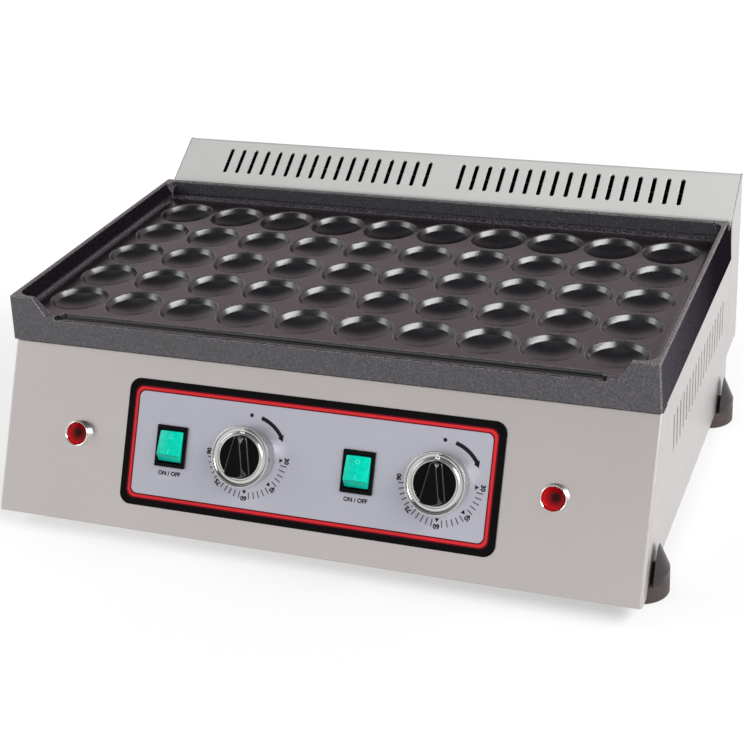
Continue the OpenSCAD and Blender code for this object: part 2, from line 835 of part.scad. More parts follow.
// Heating tube of one zone: four runs with three turns and two ends bent down
module heating_element() {
    low = z_tube - tube_bend - z_shield + tube_end;
    translate([0, y_mid, z_tube]) {
        for (k = [-1.5:1:1.5])
            translate([-tube_run, k * tube_pitch, 0])
                rotate([0, 90, 0])
                    cylinder(h = 2 * tube_run, r = tube_r);
        for (k = [-1, 1])
            translate([tube_run, k * tube_pitch, 0])
                rotate([0, 0, -90])
                    rotate_extrude(angle = 180)
                        translate([tube_pitch / 2, 0])
                            circle(tube_r);
        translate([-tube_run, 0, 0])
            rotate([0, 0, 90])
                rotate_extrude(angle = 180)
                    translate([tube_pitch / 2, 0])
                        circle(tube_r);
        for (k = [-1.5, 1.5])
            translate([-tube_run, k * tube_pitch, -tube_bend]) {
                rotate([90, 0, 0])
                    rotate([0, 0, 90])
                        rotate_extrude(angle = 90)
                            translate([tube_bend, 0])
                                circle(tube_r);
                translate([-tube_bend, 0, -low])
                    cylinder(h = low, r = tube_r);
                translate([-tube_bend, 0, -low - 8])
                    cylinder(h = 8, r = tube_r / 2);
            }
    }
}

module left_heating_element() {
    color(chrome)
        translate([-heat_x, 0, 0])
            heating_element();
}

module right_heating_element() {
    color(chrome)
        translate([heat_x, 0, 0])
            heating_element();
}

module heater_clamps() {
    len = 3 * tube_pitch + 6 * tube_r;
    color(steel)
        for (zone = [-1, 1], x = [-1, 1])
            translate([zone * heat_x + x * clamp_x, y_mid, z_clamp - clamp_t])
                difference() {
                    translate([-clamp_w / 2, -len / 2, 0])
                        cube([clamp_w, len, clamp_t]);
                    for (y = [-clamp_y, clamp_y])
                        translate([0, y, -cut])
                            cylinder(h = clamp_t + 2 * cut, r = stud_r + seat_fit);
                }
}

module clamp_studs() {
    low = z_clamp - clamp_t - nut_h - 2;
    color(chrome)
        at_studs()
            translate([0, 0, low])
                cylinder(h = z_slab + stud_hole - low, r = stud_r);
}

module clamp_nuts() {
    color(chrome)
        at_studs()
            translate([0, 0, z_clamp - clamp_t - nut_h])
                difference() {
                    cylinder(h = nut_h, r = 1.8 * stud_r, $fn = 6);
                    translate([0, 0, -cut])
                        cylinder(h = nut_h + 2 * cut, r = stud_r + seat_fit);
                }
}

module control_fascia() {
    color([0.72, 0.72, 0.78])
    difference() {
        on_front(-front_shift, control_up)
            round_plate(fascia_w, fascia_h, fascia_t, fascia_corner);
        for (x = switch_x)
            on_front(x, switch_up)
                cube([switch_w + 2 * seat_fit, switch_h + 2 * seat_fit, 8], center = true);
        for (x = knob_x)
            on_front(x, control_up) {
                cylinder(h = 8, r = bushing_r + seat_fit, center = true);
                for (s = [-1, 1])
                    translate([s * stat_screws / 2, 0, 0])
                        cylinder(h = 8, r = 3.5 + seat_fit, center = true);
            }
    }
}

// Switch housing with bezel, pocket for the rocker and three spade terminals
module switch_body(x) {
    pocket_w = rocker_w + 2 * move_fit;
    pocket_h = rocker_len + 2 * move_fit;
    color(dark)
    on_front(x, switch_up)
    difference() {
        union() {
            translate([0, 0, fascia_t])
                round_plate(bezel_w, bezel_h, bezel_t, bezel_corner);
            translate([-switch_w / 2, -switch_h / 2, -switch_d])
                cube([switch_w, switch_h, switch_d + fascia_t + bezel_t / 2]);
            for (y = [-8, 0, 8])
                translate([-3.15, y - 0.4, -switch_d - spade_len])
                    cube([6.3, 0.8, spade_len + cut]);
        }
        translate([-pocket_w / 2, -pocket_h / 2, -pivot_depth - 8])
            cube([pocket_w, pocket_h, 30]);
        translate([-switch_w, 0, -pivot_depth])
            rotate([0, 90, 0])
                cylinder(h = 2 * switch_w, r = pivot_r + run_fit);
    }
}

module left_switch_body() {
    switch_body(switch_x[0]);
}

module right_switch_body() {
    switch_body(switch_x[1]);
}

// Rocker tipped with its upper end pressed in, on two pivot pins
module rocker(x) {
    pin = switch_w - seat_fit;
    color([0.1, 0.85, 0.68])
    on_front(x, switch_up)
    translate([0, 0, -pivot_depth])
    rotate([-rocker_throw / 2, 0, 0]) {
        translate([-rocker_w / 2, 0, 0])
            rotate([90, 0, 90])
                linear_extrude(rocker_w)
                    polygon([[-rocker_face / 2, rocker_rise], [-rocker_len / 2 + 0.1, 0.6],
                        [-rocker_len / 2 + 2, -3.5], [rocker_len / 2 - 2, -3.5],
                        [rocker_len / 2 - 0.1, 0.6], [rocker_face / 2, rocker_rise]]);
        translate([-pin / 2, 0, 0])
            rotate([0, 90, 0])
                cylinder(h = pin, r = pivot_r);
    }
}

module left_rocker() {
    rocker(switch_x[0]);
}

module right_rocker() {
    rocker(switch_x[1]);
}

// Thermostat housing with fixing plate, bushing and terminals
module thermostat(x) {
    color(chrome)
    on_front(x, control_up)
    difference() {
        union() {
            translate([-stat_w / 2, -stat_h / 2, -sheet_t - stat_plate])
                cube([stat_w, stat_h, stat_plate]);
            translate([-stat_w / 2, -stat_h / 2, -sheet_t - stat_plate - stat_d])
                cube([stat_w, stat_h, stat_d - 7]);
            translate([-stat_screws / 2 + 5, -stat_h / 2, -sheet_t - stat_plate - stat_d])
                cube([stat_screws - 10, stat_h, stat_d + cut]);
            translate([0, 0, -sheet_t - stat_plate])
                cylinder(h = sheet_t + stat_plate + fascia_t, r = bushing_r);
            for (y = [-10, 10])
                translate([-stat_w / 4, y, -sheet_t - stat_plate - stat_d - spade_len])
                    cube([6.3, 0.8, spade_len + cut]);
        }
        translate([0, 0, -sheet_t - stat_plate - stat_d / 2])
            cylinder(h = stat_d + 10, r = shaft_r + run_fit);
        for (s = [-1, 1])
            translate([s * stat_screws / 2, 0, -sheet_t - stat_plate - cut])
                cylinder(h = stat_plate + 2 * cut, r = 2 + seat_fit);
    }
}

module left_thermostat() {
    thermostat(knob_x[0]);
}

module right_thermostat() {
    thermostat(knob_x[1]);
}

// Round shaft with a flat on its outer end
module stat_shaft(x, fit) {
    bottom = -sheet_t - stat_plate - stat_d / 2 + move_fit;
    end = grip_floor + ring_h - 6;
    on_front(x, control_up)
    difference() {
        translate([0, 0, bottom])
            cylinder(h = end - bottom, r = shaft_r + fit);
        translate([-10, shaft_r - 1.2 + fit, fascia_t + knob_gap + 1])
            cube([20, 10, 40]);
    }
}

module left_thermostat_shaft() {
    color(chrome)
        stat_shaft(knob_x[0], 0);
}

module right_thermostat_shaft() {
    color(chrome)
        stat_shaft(knob_x[1], 0);
}

// Grip with a foot flange under the ring and a wedge-shaped finger bar
module knob_grip(x) {
    r = grip_d / 2;
    top = fascia_t + knob_gap + ring_h;
    color(dark)
    difference() {
        on_front(x, control_up) {
            translate([0, 0, grip_floor])
                cylinder(h = top - grip_floor - 1, r = r);
            translate([0, 0, grip_floor])
                cylinder(h = 2, r = r + 2);
            intersection() {
                translate([0, 0, top - 2])
                    cylinder(h = grip_bar + 2, r1 = r, r2 = r - 1.5);
                translate([0, 0, top - 2])
                    linear_extrude(grip_bar + 2)
                        polygon([[-bar_narrow / 2, r], [bar_narrow / 2, r],
                            [bar_wide / 2, -r], [-bar_wide / 2, -r]]);
            }
        }
        stat_shaft(x, run_fit);
    }
}

module left_knob_grip() {
    knob_grip(knob_x[0]);
}

module right_knob_grip() {
    knob_grip(knob_x[1]);
}

// Chrome ring with raised outer and inner lips and a dished channel between them
module knob_ring(x) {
    r = ring_d / 2;
    inner = grip_d / 2 + seat_fit;
    base = fascia_t + knob_gap;
    shelf = grip_floor + 2;
    mid = (r + inner) / 2;
    dish = (r - inner) / 2 - 0.9;
    color(chrome)
    on_front(x, control_up)
    difference() {
        translate([0, 0, base])
            cylinder(h = ring_h, r1 = r - ring_taper, r2 = r);
        translate([0, 0, shelf])
            cylinder(h = ring_h + cut, r = inner);
        translate([0, 0, base - cut])
            cylinder(h = shelf - base + cut, r = inner + 2 + seat_fit);
        translate([0, 0, base + ring_h + 0.35 * dish])
            rotate_extrude()
                translate([mid, 0])
                    circle(dish);
    }
}

module left_knob_ring() {
    knob_ring(knob_x[0]);
}

module right_knob_ring() {
    knob_ring(knob_x[1]);
}

module thermostat_screws() {
    color(steel)
        for (x = knob_x, s = [-1, 1])
            on_front(x + s * stat_screws / 2, control_up) {
                cylinder(h = screw_head, r = 3.5);
                translate([0, 0, -sheet_t - stat_plate - 3])
                    cylinder(h = sheet_t + stat_plate + 3 + cut, r = 2);
            }
}

// Conical chrome bezel of a pilot lamp, its rim flaring in to the lens
module lamp_bezel(x) {
    color(chrome)
    on_front(x, control_up)
    difference() {
        cylinder(h = lamp_h, d1 = lamp_d, d2 = lamp_rim);
        translate([0, 0, lamp_h / 2])
            cylinder(h = lamp_h, d = lens_d + 2 * seat_fit);
        translate([0, 0, lamp_h - lens_recess])
            cylinder(h = lens_recess, d1 = lens_d + 2 * seat_fit, d2 = lamp_rim - 2 * rim_flat);
        translate([0, 0, -cut])
            cylinder(h = lamp_h, d = lamp_body_d + 2 * seat_fit);
    }
}

module left_lamp_bezel() {
    lamp_bezel(lamp_x[0]);
}

module right_lamp_bezel() {
    lamp_bezel(lamp_x[1]);
}

// Red lens with a stepped, slightly conical crown
module lamp_lens(x) {
    color([0.85, 0.08, 0.06])
    on_front(x, control_up)
    translate([0, 0, lamp_h / 2]) {
        cylinder(h = lamp_h / 2 - lens_recess, d = lens_d);
        translate([0, 0, lamp_h / 2 - lens_recess])
            cylinder(h = lens_rise, d1 = lens_d, d2 = lens_d - 4);
    }
}

module left_lamp_lens() {
    lamp_lens(lamp_x[0]);
}

module right_lamp_lens() {
    lamp_lens(lamp_x[1]);
}

// Lamp body through the panel with two leads' spades
module lamp_body(x) {
    color([0.85, 0.85, 0.82])
    on_front(x, control_up) {
        translate([0, 0, -lamp_len])
            cylinder(h = lamp_len + lamp_h / 2, d = lamp_body_d);
        for (s = [-1, 1])
            translate([s * 3 - 0.4, -1.4, -lamp_len - spade_len])
                cube([0.8, 2.8, spade_len + cut]);
    }
}

module left_lamp_body() {
    lamp_body(lamp_x[0]);
}

module right_lamp_body() {
    lamp_body(lamp_x[1]);
}

// Nut that holds a lamp behind the panel
module lamp_nut(x) {
    color(chrome)
    on_front(x, control_up)
    translate([0, 0, -sheet_t - 4])
    difference() {
        cylinder(h = 4, r = lamp_body_d / 2 + 4, $fn = 6);
        translate([0, 0, -cut])
            cylinder(h = 4 + 2 * cut, d = lamp_body_d + 2 * seat_fit);
    }
}

module left_lamp_nut() {
    lamp_nut(lamp_x[0]);
}

module right_lamp_nut() {
    lamp_nut(lamp_x[1]);
}

// Sensor bulb below the plate with its capillary tube down to the thermostat
module sensor(zone) {
    z = z_slab - bulb_r;
    x = zone * heat_x;
    stat = front_point(knob_x[zone < 0 ? 0 : 1], control_up, -sheet_t - stat_plate - stat_d);
    a = [x - bulb_len / 2 + 1, bulb_y, z];
    b = [x - capillary_x, bulb_y, z];
    c = [x - capillary_x, bulb_y, z_shield - 12];
    color([0.72, 0.45, 0.3]) {
        rod([x - bulb_len / 2, bulb_y, z], [x + bulb_len / 2, bulb_y, z], bulb_r);
        rod(a, b, capillary_r);
        rod(b, c, capillary_r);
        rod(c, stat, capillary_r);
        translate(b)
            sphere(1.25 * capillary_r);
        translate(c)
            sphere(1.6 * capillary_r);
    }
}

module left_sensor() {
    sensor(-1);
}

module right_sensor() {
    sensor(1);
}

module sensor_clips() {
    z = z_slab - 2 * bulb_r;
    y = bulb_y - bulb_r - sheet_t;
    color(steel)
        for (zone = [-1, 1])
            along_x(zone * heat_x - clip_w / 2, clip_w)
                polygon(sheet([[y - clip_foot, z_slab], [y, z_slab], [y, z],
                    [bulb_y + bulb_r, z]], -sheet_t));
}

// Rubber foot on the right: a round base and a fin beside the body
module foot(y) {
    r = foot_d / 2;
    reach = fin_x - foot_x;
    translate([foot_x, y, 0])
    difference() {
        union() {
            cylinder(h = foot_h, r = r);
            intersection() {
                union() {
                    cylinder(h = foot_side, r = r);
                    translate([0, 0, foot_side])
                        cylinder(h = foot_tip - foot_side, r1 = r, r2 = reach);
                }
                translate([reach, -r, 0])
                    cube([r, 2 * r, foot_tip]);
            }
        }
        translate([0, 0, -cut])
            cylinder(h = foot_h + 2 * cut, r = foot_screw_r + seat_fit);
        translate([0, 0, -cut])
            cylinder(h = foot_h / 2 + cut, r = 2.4 * foot_screw_r);
    }
}

module front_left_foot() {
    color(dark)
        side_of(-1)
            foot(foot_y[0]);
}

module front_right_foot() {
    color(dark)
        foot(foot_y[0]);
}

module rear_left_foot() {
    color(dark)
        side_of(-1)
            foot(foot_y[1]);
}

module rear_right_foot() {
    color(dark)
        foot(foot_y[1]);
}

module foot_screws() {
    color(steel)
        for (s = [-1, 1], y = foot_y)
            translate([s * foot_x, y, foot_h / 2]) {
                cylinder(h = z_inside + foot_screw_in - foot_h / 2, r = foot_screw_r);
                translate([0, 0, -3])
                    cylinder(h = 3, r = 1.9 * foot_screw_r);
            }
}

module foot_nuts() {
    color(steel)
        for (s = [-1, 1], y = foot_y)
            translate([s * foot_x, y, z_inside])
                difference() {
                    cylinder(h = 4, r = 1.9 * foot_screw_r, $fn = 6);
                    translate([0, 0, -cut])
                        cylinder(h = 4 + 2 * cut, r = foot_screw_r + seat_fit);
                }
}

module base_screws() {
    color(steel)
        for (x = [-1, 1], y = [y_front + edge_flange / 2 + 1, y_rear - edge_flange / 2])
            translate([x * half_w / 2, y, z_body]) {
                translate([0, 0, -screw_head])
                    cylinder(h = screw_head, r = base_head_r);
                translate([0, 0, -cut])
                    cylinder(h = cut + 2 * sheet_t + base_screw_in, r = 2);
            }
}

// Cable gland through the rear panel, its axis along Y
module cable_gland() {
    color(dark)
    translate([gland_x, y_rear, gland_z])
    rotate([-90, 0, 0])
    difference() {
        union() {
            cylinder(h = 6, r = gland_hex, $fn = 6);
            translate([0, 0, 5])
                cylinder(h = 9, r = gland_hex * 0.84);
            translate([0, 0, 14])
                cylinder(h = 6, r1 = gland_hex * 0.84, r2 = gland_bore + 2);
            translate([0, 0, -12])
                cylinder(h = 13, r = gland_thread);
        }
        translate([0, 0, -20])
            cylinder(h = 60, r = gland_bore);
    }
}

module gland_nut() {
    color(dark)
    translate([gland_x, y_rear - sheet_t, gland_z])
    rotate([90, 0, 0])
    difference() {
        cylinder(h = 5, r = gland_hex, $fn = 6);
        translate([0, 0, -cut])
            cylinder(h = 5 + 2 * cut, r = gland_thread + seat_fit);
    }
}

// Terminal block on the base tray with one bore and one screw well per pole
module terminal_block() {
    w = (terminal_poles + 0.17) * terminal_pitch;
    color([0.9, 0.9, 0.86])
    translate([gland_x - w - terminal_side, y_rear - terminal_back, z_inside])
    difference() {
        cube([w, terminal_d, terminal_h]);
        for (i = [0:terminal_poles - 1])
            translate([(i + 0.585) * terminal_pitch, 0, 0]) {
                translate([0, -cut, terminal_h / 2])
                    rotate([-90, 0, 0])
                        cylinder(h = terminal_d + 2 * cut, r = 2.6);
                for (y = [terminal_d / 4, terminal_d * 3 / 4])
                    translate([0, y, terminal_h / 2])
                        cylinder(h = terminal_h, r = 2);
            }
    }
}

cooking_plate();
front_panel();
left_side_panel();
right_side_panel();
rear_panel();
base_tray();
flue_cover();
flue_back();
flue_left_end();
flue_right_end();
left_support_rail();
right_support_rail();
heat_shield();
plate_bolts();
left_heating_element();
right_heating_element();
heater_clamps();
clamp_studs();
clamp_nuts();
control_fascia();
left_switch_body();
right_switch_body();
left_rocker();
right_rocker();
left_thermostat();
right_thermostat();
left_thermostat_shaft();
right_thermostat_shaft();
left_knob_grip();
right_knob_grip();
left_knob_ring();
right_knob_ring();
thermostat_screws();
left_lamp_bezel();
right_lamp_bezel();
left_lamp_lens();
right_lamp_lens();
left_lamp_body();
right_lamp_body();
left_lamp_nut();
right_lamp_nut();
left_sensor();
right_sensor();
sensor_clips();
front_left_foot();
front_right_foot();
rear_left_foot();
rear_right_foot();
foot_screws();
foot_nuts();
base_screws();
cable_gland();
gland_nut();
terminal_block();
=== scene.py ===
import json
import math

import bmesh
import bpy
import numpy as np
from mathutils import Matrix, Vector


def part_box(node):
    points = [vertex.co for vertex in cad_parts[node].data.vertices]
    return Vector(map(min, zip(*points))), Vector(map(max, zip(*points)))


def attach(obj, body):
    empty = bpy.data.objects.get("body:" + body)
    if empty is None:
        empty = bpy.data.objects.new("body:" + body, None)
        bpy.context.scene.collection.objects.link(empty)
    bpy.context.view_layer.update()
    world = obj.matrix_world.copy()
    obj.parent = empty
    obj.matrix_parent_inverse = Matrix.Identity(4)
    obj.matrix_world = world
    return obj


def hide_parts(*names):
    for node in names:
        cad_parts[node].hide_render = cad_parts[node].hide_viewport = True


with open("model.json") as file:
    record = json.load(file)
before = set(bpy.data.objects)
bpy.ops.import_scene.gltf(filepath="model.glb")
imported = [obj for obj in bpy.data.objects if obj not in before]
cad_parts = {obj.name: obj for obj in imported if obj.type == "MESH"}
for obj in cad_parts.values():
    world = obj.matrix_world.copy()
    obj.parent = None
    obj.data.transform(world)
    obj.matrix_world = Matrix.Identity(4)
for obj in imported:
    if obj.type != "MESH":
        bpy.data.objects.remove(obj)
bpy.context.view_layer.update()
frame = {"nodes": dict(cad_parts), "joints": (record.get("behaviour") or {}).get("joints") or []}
cad = frame["nodes"]
jointAt = {j["name"]: np.array(j["pos_m"]) for j in frame["joints"]}
print("frame loaded:", len(cad), "nodes")

# the sloping front panel's own frame: across, up its slope, out of it, in millimetres
panel = {"lean": math.radians(26.4), "fascia": (303.0, 98.0, 9.0, 1.0)}
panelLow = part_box("front_panel")[0]
panelStart = np.array([0.0, panelLow.y, panelLow.z])
panelAxes = np.array([
    [1.0, 0.0, 0.0],
    [0.0, math.sin(panel["lean"]), math.cos(panel["lean"])],
    [0.0, -math.cos(panel["lean"]), math.sin(panel["lean"])],
])


def onPanel(points):  # panel millimetres to frame metres: start + across*X + up*U + out*N
    return panelStart + np.asarray(points, float) @ panelAxes * 0.001


def panelSpot(jointName):  # where a joint's axis meets the panel, in panel millimetres
    return (jointAt[jointName] - panelStart) @ panelAxes.T * 1000.0


def nodeMiddle(nodeName):  # middle of a CAD node's box, in metres
    low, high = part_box(nodeName)
    return (np.array(low) + np.array(high)) / 2


# meshes from arrays
def gridPiece(name, grid, material, body, wrapU=False, wrapV=False, smooth=True, solid=False):
    # quads between neighbours of a (rows, columns, 3) array, closed round where asked
    rows, cols = grid.shape[:2]
    r = np.arange(rows if wrapU else rows - 1)[:, None]
    c = np.arange(cols if wrapV else cols - 1)[None, :]
    r2, c2 = (r + 1) % rows, (c + 1) % cols
    quads = np.stack([r * cols + c, r * cols + c2, r2 * cols + c2, r2 * cols + c], -1).reshape(-1, 4)
    return meshPiece(name, grid.reshape(-1, 3), quads.tolist(), material, body, smooth, solid)


def meshPiece(name, points, faces, material, body, smooth=True, solid=False):
    mesh = bpy.data.meshes.new(name)
    mesh.from_pydata(np.asarray(points, float).tolist(), [], faces)
    if solid:  # poles merged, faces turned outward
        work = bmesh.new()
        work.from_mesh(mesh)
        bmesh.ops.remove_doubles(work, verts=work.verts, dist=1e-6)
        bmesh.ops.recalc_face_normals(work, faces=work.faces)
        work.to_mesh(mesh)
        work.free()
    mesh.polygons.foreach_set("use_smooth", np.full(len(mesh.polygons), smooth))
    if solid:
        mesh.set_sharp_from_angle(angle=math.radians(38))
    mesh.materials.append(material)
    mesh.update()
    piece = bpy.data.objects.new(name, mesh)
    bpy.context.scene.collection.objects.link(piece)
    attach(piece, body)
    return piece


def roundOutline(width, height, radius, steps=10):
    # closed rectangle with arcs: each corner is its centre plus radius times (cos, sin)
    turn = np.linspace(0, math.pi / 2, steps)
    quarter = np.arange(4)[:, None] * math.pi / 2 + turn[None, :]
    signs = np.array([[1, 1], [-1, 1], [-1, -1], [1, -1]])
    centres = signs * np.array([width / 2 - radius, height / 2 - radius])
    ring = centres[:, None, :] + radius * np.stack([np.cos(quarter), np.sin(quarter)], -1)
    return ring.reshape(-1, 2)


def roundLoop(corners, radii, steps=6):
    # each corner of a closed outline becomes an arc drawn as a quadratic curve between its tangents
    at = np.asarray(corners, float)
    before, after = np.roll(at, 1, axis=0), np.roll(at, -1, axis=0)
    back, ahead = np.linalg.norm(before - at, axis=1), np.linalg.norm(after - at, axis=1)
    reach = np.minimum(np.asarray(radii, float), 0.45 * np.minimum(back, ahead))[:, None]
    start = at + (before - at) / back[:, None] * reach
    end = at + (after - at) / ahead[:, None] * reach
    t = np.linspace(0, 1, steps)[None, :, None]
    arcs = (1 - t) ** 2 * start[:, None] + 2 * t * (1 - t) * at[:, None] + t ** 2 * end[:, None]
    return arcs.reshape(-1, 2)


def turned(name, profile, spot, material, body, steps=96):
    # closed profile of (radius, out) carried round the panel's normal: across = r cos a, up = r sin a
    angle = np.linspace(0, 2 * math.pi, steps, endpoint=False)
    r, out = np.asarray(profile, float).T
    grid = np.stack([
        spot[0] + r[:, None] * np.cos(angle),
        spot[1] + r[:, None] * np.sin(angle),
        np.broadcast_to(out[:, None], (len(r), steps)),
    ], -1)
    return gridPiece(name, onPanel(grid), material, body, wrapU=True, wrapV=True, solid=True)


def flatText(name, words, height, spot, turnAngle, lift, material, body, thicken=0.0):
    # words as a flat mesh, centred on a panel spot, its upright direction turned clockwise from the slope's
    curve = bpy.data.curves.new(name, "FONT")
    curve.body = words
    curve.size = height
    curve.align_x, curve.align_y = "CENTER", "CENTER"
    curve.resolution_u = 3
    curve.offset = thicken
    sample = bpy.data.objects.new(name + "Curve", curve)
    bpy.context.scene.collection.objects.link(sample)
    bpy.context.view_layer.update()
    flat = bpy.data.meshes.new_from_object(sample.evaluated_get(bpy.context.evaluated_depsgraph_get()))
    bpy.data.objects.remove(sample)
    points = np.zeros(len(flat.vertices) * 3)
    flat.vertices.foreach_get("co", points)
    points = points.reshape(-1, 3)
    c, s = math.cos(turnAngle), math.sin(turnAngle)
    placed = np.stack([
        spot[0] + points[:, 0] * c + points[:, 1] * s,
        spot[1] - points[:, 0] * s + points[:, 1] * c,
        np.full(len(points), lift),
    ], -1)
    faces = [list(p.vertices) for p in flat.polygons]
    return meshPiece(name, onPanel(placed), faces, material, body, smooth=False)


# materials
def startMaterial(name, colour, roughness, metallic=0.0, **sockets):
    material = bpy.data.materials.new(name)
    material.use_nodes = True
    shader = material.node_tree.nodes["Principled BSDF"]
    shader.inputs["Base Color"].default_value = (*colour, 1)
    shader.inputs["Roughness"].default_value = roughness
    shader.inputs["Metallic"].default_value = metallic
    for socket, value in sockets.items():
        shader.inputs[socket].default_value = value
    return material, material.node_tree, shader


def objectPlace(tree, scale=(1, 1, 1), shift=(0, 0, 0)):
    place = tree.nodes.new("ShaderNodeTexCoord")
    mapping = tree.nodes.new("ShaderNodeMapping")
    mapping.inputs["Scale"].default_value = scale
    mapping.inputs["Location"].default_value = shift
    tree.links.new(place.outputs["Object"], mapping.inputs["Vector"])
    return mapping.outputs["Vector"]


def objectNoise(tree, scale, detail=3.0, stretch=(1, 1, 1)):
    # noise on Object coordinates, drawn out along the axes whose stretch is small
    noise = tree.nodes.new("ShaderNodeTexNoise")
    noise.inputs["Scale"].default_value = scale
    noise.inputs["Detail"].default_value = detail
    tree.links.new(objectPlace(tree, stretch), noise.inputs["Vector"])
    return noise.outputs["Fac"]


def rampFrom(tree, fac, stops):
    ramp = tree.nodes.new("ShaderNodeValToRGB")
    low, high = ramp.color_ramp.elements
    low.position, high.position = stops[0][0], stops[-1][0]
    low.color, high.color = (*stops[0][1], 1), (*stops[-1][1], 1)
    for position, colour in stops[1:-1]:
        ramp.color_ramp.elements.new(position).color = (*colour, 1)
    tree.links.new(fac, ramp.inputs["Fac"])
    return ramp.outputs["Color"]


def rangeFrom(tree, fac, low, high, fromLow=0.3, fromHigh=0.7):
    span = tree.nodes.new("ShaderNodeMapRange")
    span.inputs["From Min"].default_value, span.inputs["From Max"].default_value = fromLow, fromHigh
    span.inputs["To Min"].default_value, span.inputs["To Max"].default_value = low, high
    tree.links.new(fac, span.inputs["Value"])
    return span.outputs["Result"]


def blend(tree, fac, first, second):
    mix = tree.nodes.new("ShaderNodeMix")
    mix.data_type = "RGBA"
    tree.links.new(fac, mix.inputs["Factor"])
    tree.links.new(first, mix.inputs["A"])
    tree.links.new(second, mix.inputs["B"])
    return mix.outputs["Result"]


def bumpFrom(tree, shader, height, strength, distance, edge=None):
    bump = tree.nodes.new("ShaderNodeBump")
    bump.inputs["Strength"].default_value = strength
    bump.inputs["Distance"].default_value = distance
    tree.links.new(height, bump.inputs["Height"])
    if edge:
        tree.links.new(edge, bump.inputs["Normal"])
    tree.links.new(bump.outputs["Normal"], shader.inputs["Normal"])


def roundedEdge(tree, radius):  # the surface's direction as if its corners were rounded to this radius
    rounded = tree.nodes.new("ShaderNodeBevel")
    rounded.inputs["Radius"].default_value = radius
    return rounded.outputs["Normal"]


def coordParts(tree, kind):  # X, Y and Z of the Object coordinates or of the surface's own direction
    place = tree.nodes.new("ShaderNodeTexCoord")
    parts = tree.nodes.new("ShaderNodeSeparateXYZ")
    tree.links.new(place.outputs[kind], parts.inputs["Vector"])
    return parts.outputs


def mathNode(tree, operation, first, second=None):
    node = tree.nodes.new("ShaderNodeMath")
    node.operation = operation
    tree.links.new(first, node.inputs[0])
    if second is not None:
        tree.links.new(second, node.inputs[1])
    return node.outputs["Value"]


def product(tree, first, second):
    return mathNode(tree, "MULTIPLY", first, second)


def dullShader(tree, roughness, specular):  # a second shader, for the part of a piece that shines less
    shader = tree.nodes.new("ShaderNodeBsdfPrincipled")
    shader.inputs["Roughness"].default_value = roughness
    shader.inputs["Specular IOR Level"].default_value = specular
    return shader


def layered(tree, fac, first, second):  # one shader turning into another, sent to the material's output
    both = tree.nodes.new("ShaderNodeMixShader")
    tree.links.new(fac, both.inputs["Fac"])
    tree.links.new(first.outputs["BSDF"], both.inputs[1])
    tree.links.new(second.outputs["BSDF"], both.inputs[2])
    tree.links.new(both.outputs["Shader"], tree.nodes["Material Output"].inputs["Surface"])


def facing(tree, toward, low, high):  # 0 to 1 as the surface turns towards a direction
    place = tree.nodes.new("ShaderNodeTexCoord")
    dot = tree.nodes.new("ShaderNodeVectorMath")
    dot.operation = "DOT_PRODUCT"
    dot.inputs[1].default_value = toward
    tree.links.new(place.outputs["Normal"], dot.inputs[0])
    return rangeFrom(tree, dot.outputs["Value"], 0.0, 1.0, low, high)


def satinSteel(name, colour, stretch, roughness=0.34, shadedInside=None, metallic=1.0):
    # rolled stainless sheet: fine grain along one direction, faint cloudiness in its tone
    material, tree, shader = startMaterial(name, colour, roughness, metallic)
    grain = objectNoise(tree, 900.0, 2.0, stretch)
    tree.links.new(rangeFrom(tree, grain, roughness - 0.04, roughness + 0.05), shader.inputs["Roughness"])
    bumpFrom(tree, shader, grain, 0.08, 0.0002, roundedEdge(tree, 0.0012))
    darker = tuple(0.965 * c for c in colour)
    tone = rampFrom(tree, objectNoise(tree, 9.0, 4.0), [(0.3, darker), (0.7, colour)])
    if shadedInside:  # painted shade: the sides that look into the flue are painted near-black
        insideShade = rampFrom(tree, grain, [(0.3, (0.008, 0.007, 0.006)), (0.7, (0.016, 0.014, 0.012))])
        tone = blend(tree, facing(tree, shadedInside[0], shadedInside[1], shadedInside[1] + 0.05), tone, insideShade)
    tree.links.new(tone, shader.inputs["Base Color"])
    return material


# tones from dark ground to pale fleck, and the stretches in metres over which one turns into another
casting = {
    "tones": {
        "coat": [(0.36, (0.003, 0.0024, 0.0038)), (0.50, (0.013, 0.0095, 0.0150)),
                 (0.68, (0.085, 0.068, 0.094))],
        "web": [(0.38, (0.0075, 0.0045, 0.0056)), (0.60, (0.0135, 0.0088, 0.0106)),
                (0.74, (0.060, 0.044, 0.050))],
        "deep": [(0.45, (0.0012, 0.0010, 0.0016)), (0.72, (0.012, 0.010, 0.015))],
        "rim": [(0.40, (0.050, 0.046, 0.048)), (0.70, (0.12, 0.112, 0.115))],
        "bareAndGlint": [(0.35, (0.12, 0.112, 0.115)), (0.65, (0.42, 0.41, 0.42))],
        "skin": [(0.40, (0.004, 0.0036, 0.005)), (0.70, (0.016, 0.014, 0.019))],
        "litSkin": [(0.38, (0.030, 0.028, 0.034)), (0.70, (0.085, 0.078, 0.092))],
    },
    "rimRise": (0.1733, 0.1741), "webFront": (-0.1281, -0.1275), "webRise": (0.1597, 0.1603),
    "lip": (-0.1384, -0.1378), "sunkRise": (0.1585, 0.1593), "edge": 0.0009, "outside": (0.0, 0.2),
    "litTowardsFront": (-0.14, 0.07), "sides": (0.222, 0.236), "rear": (-0.116, -0.108), "rearMatt": 0.65,
}


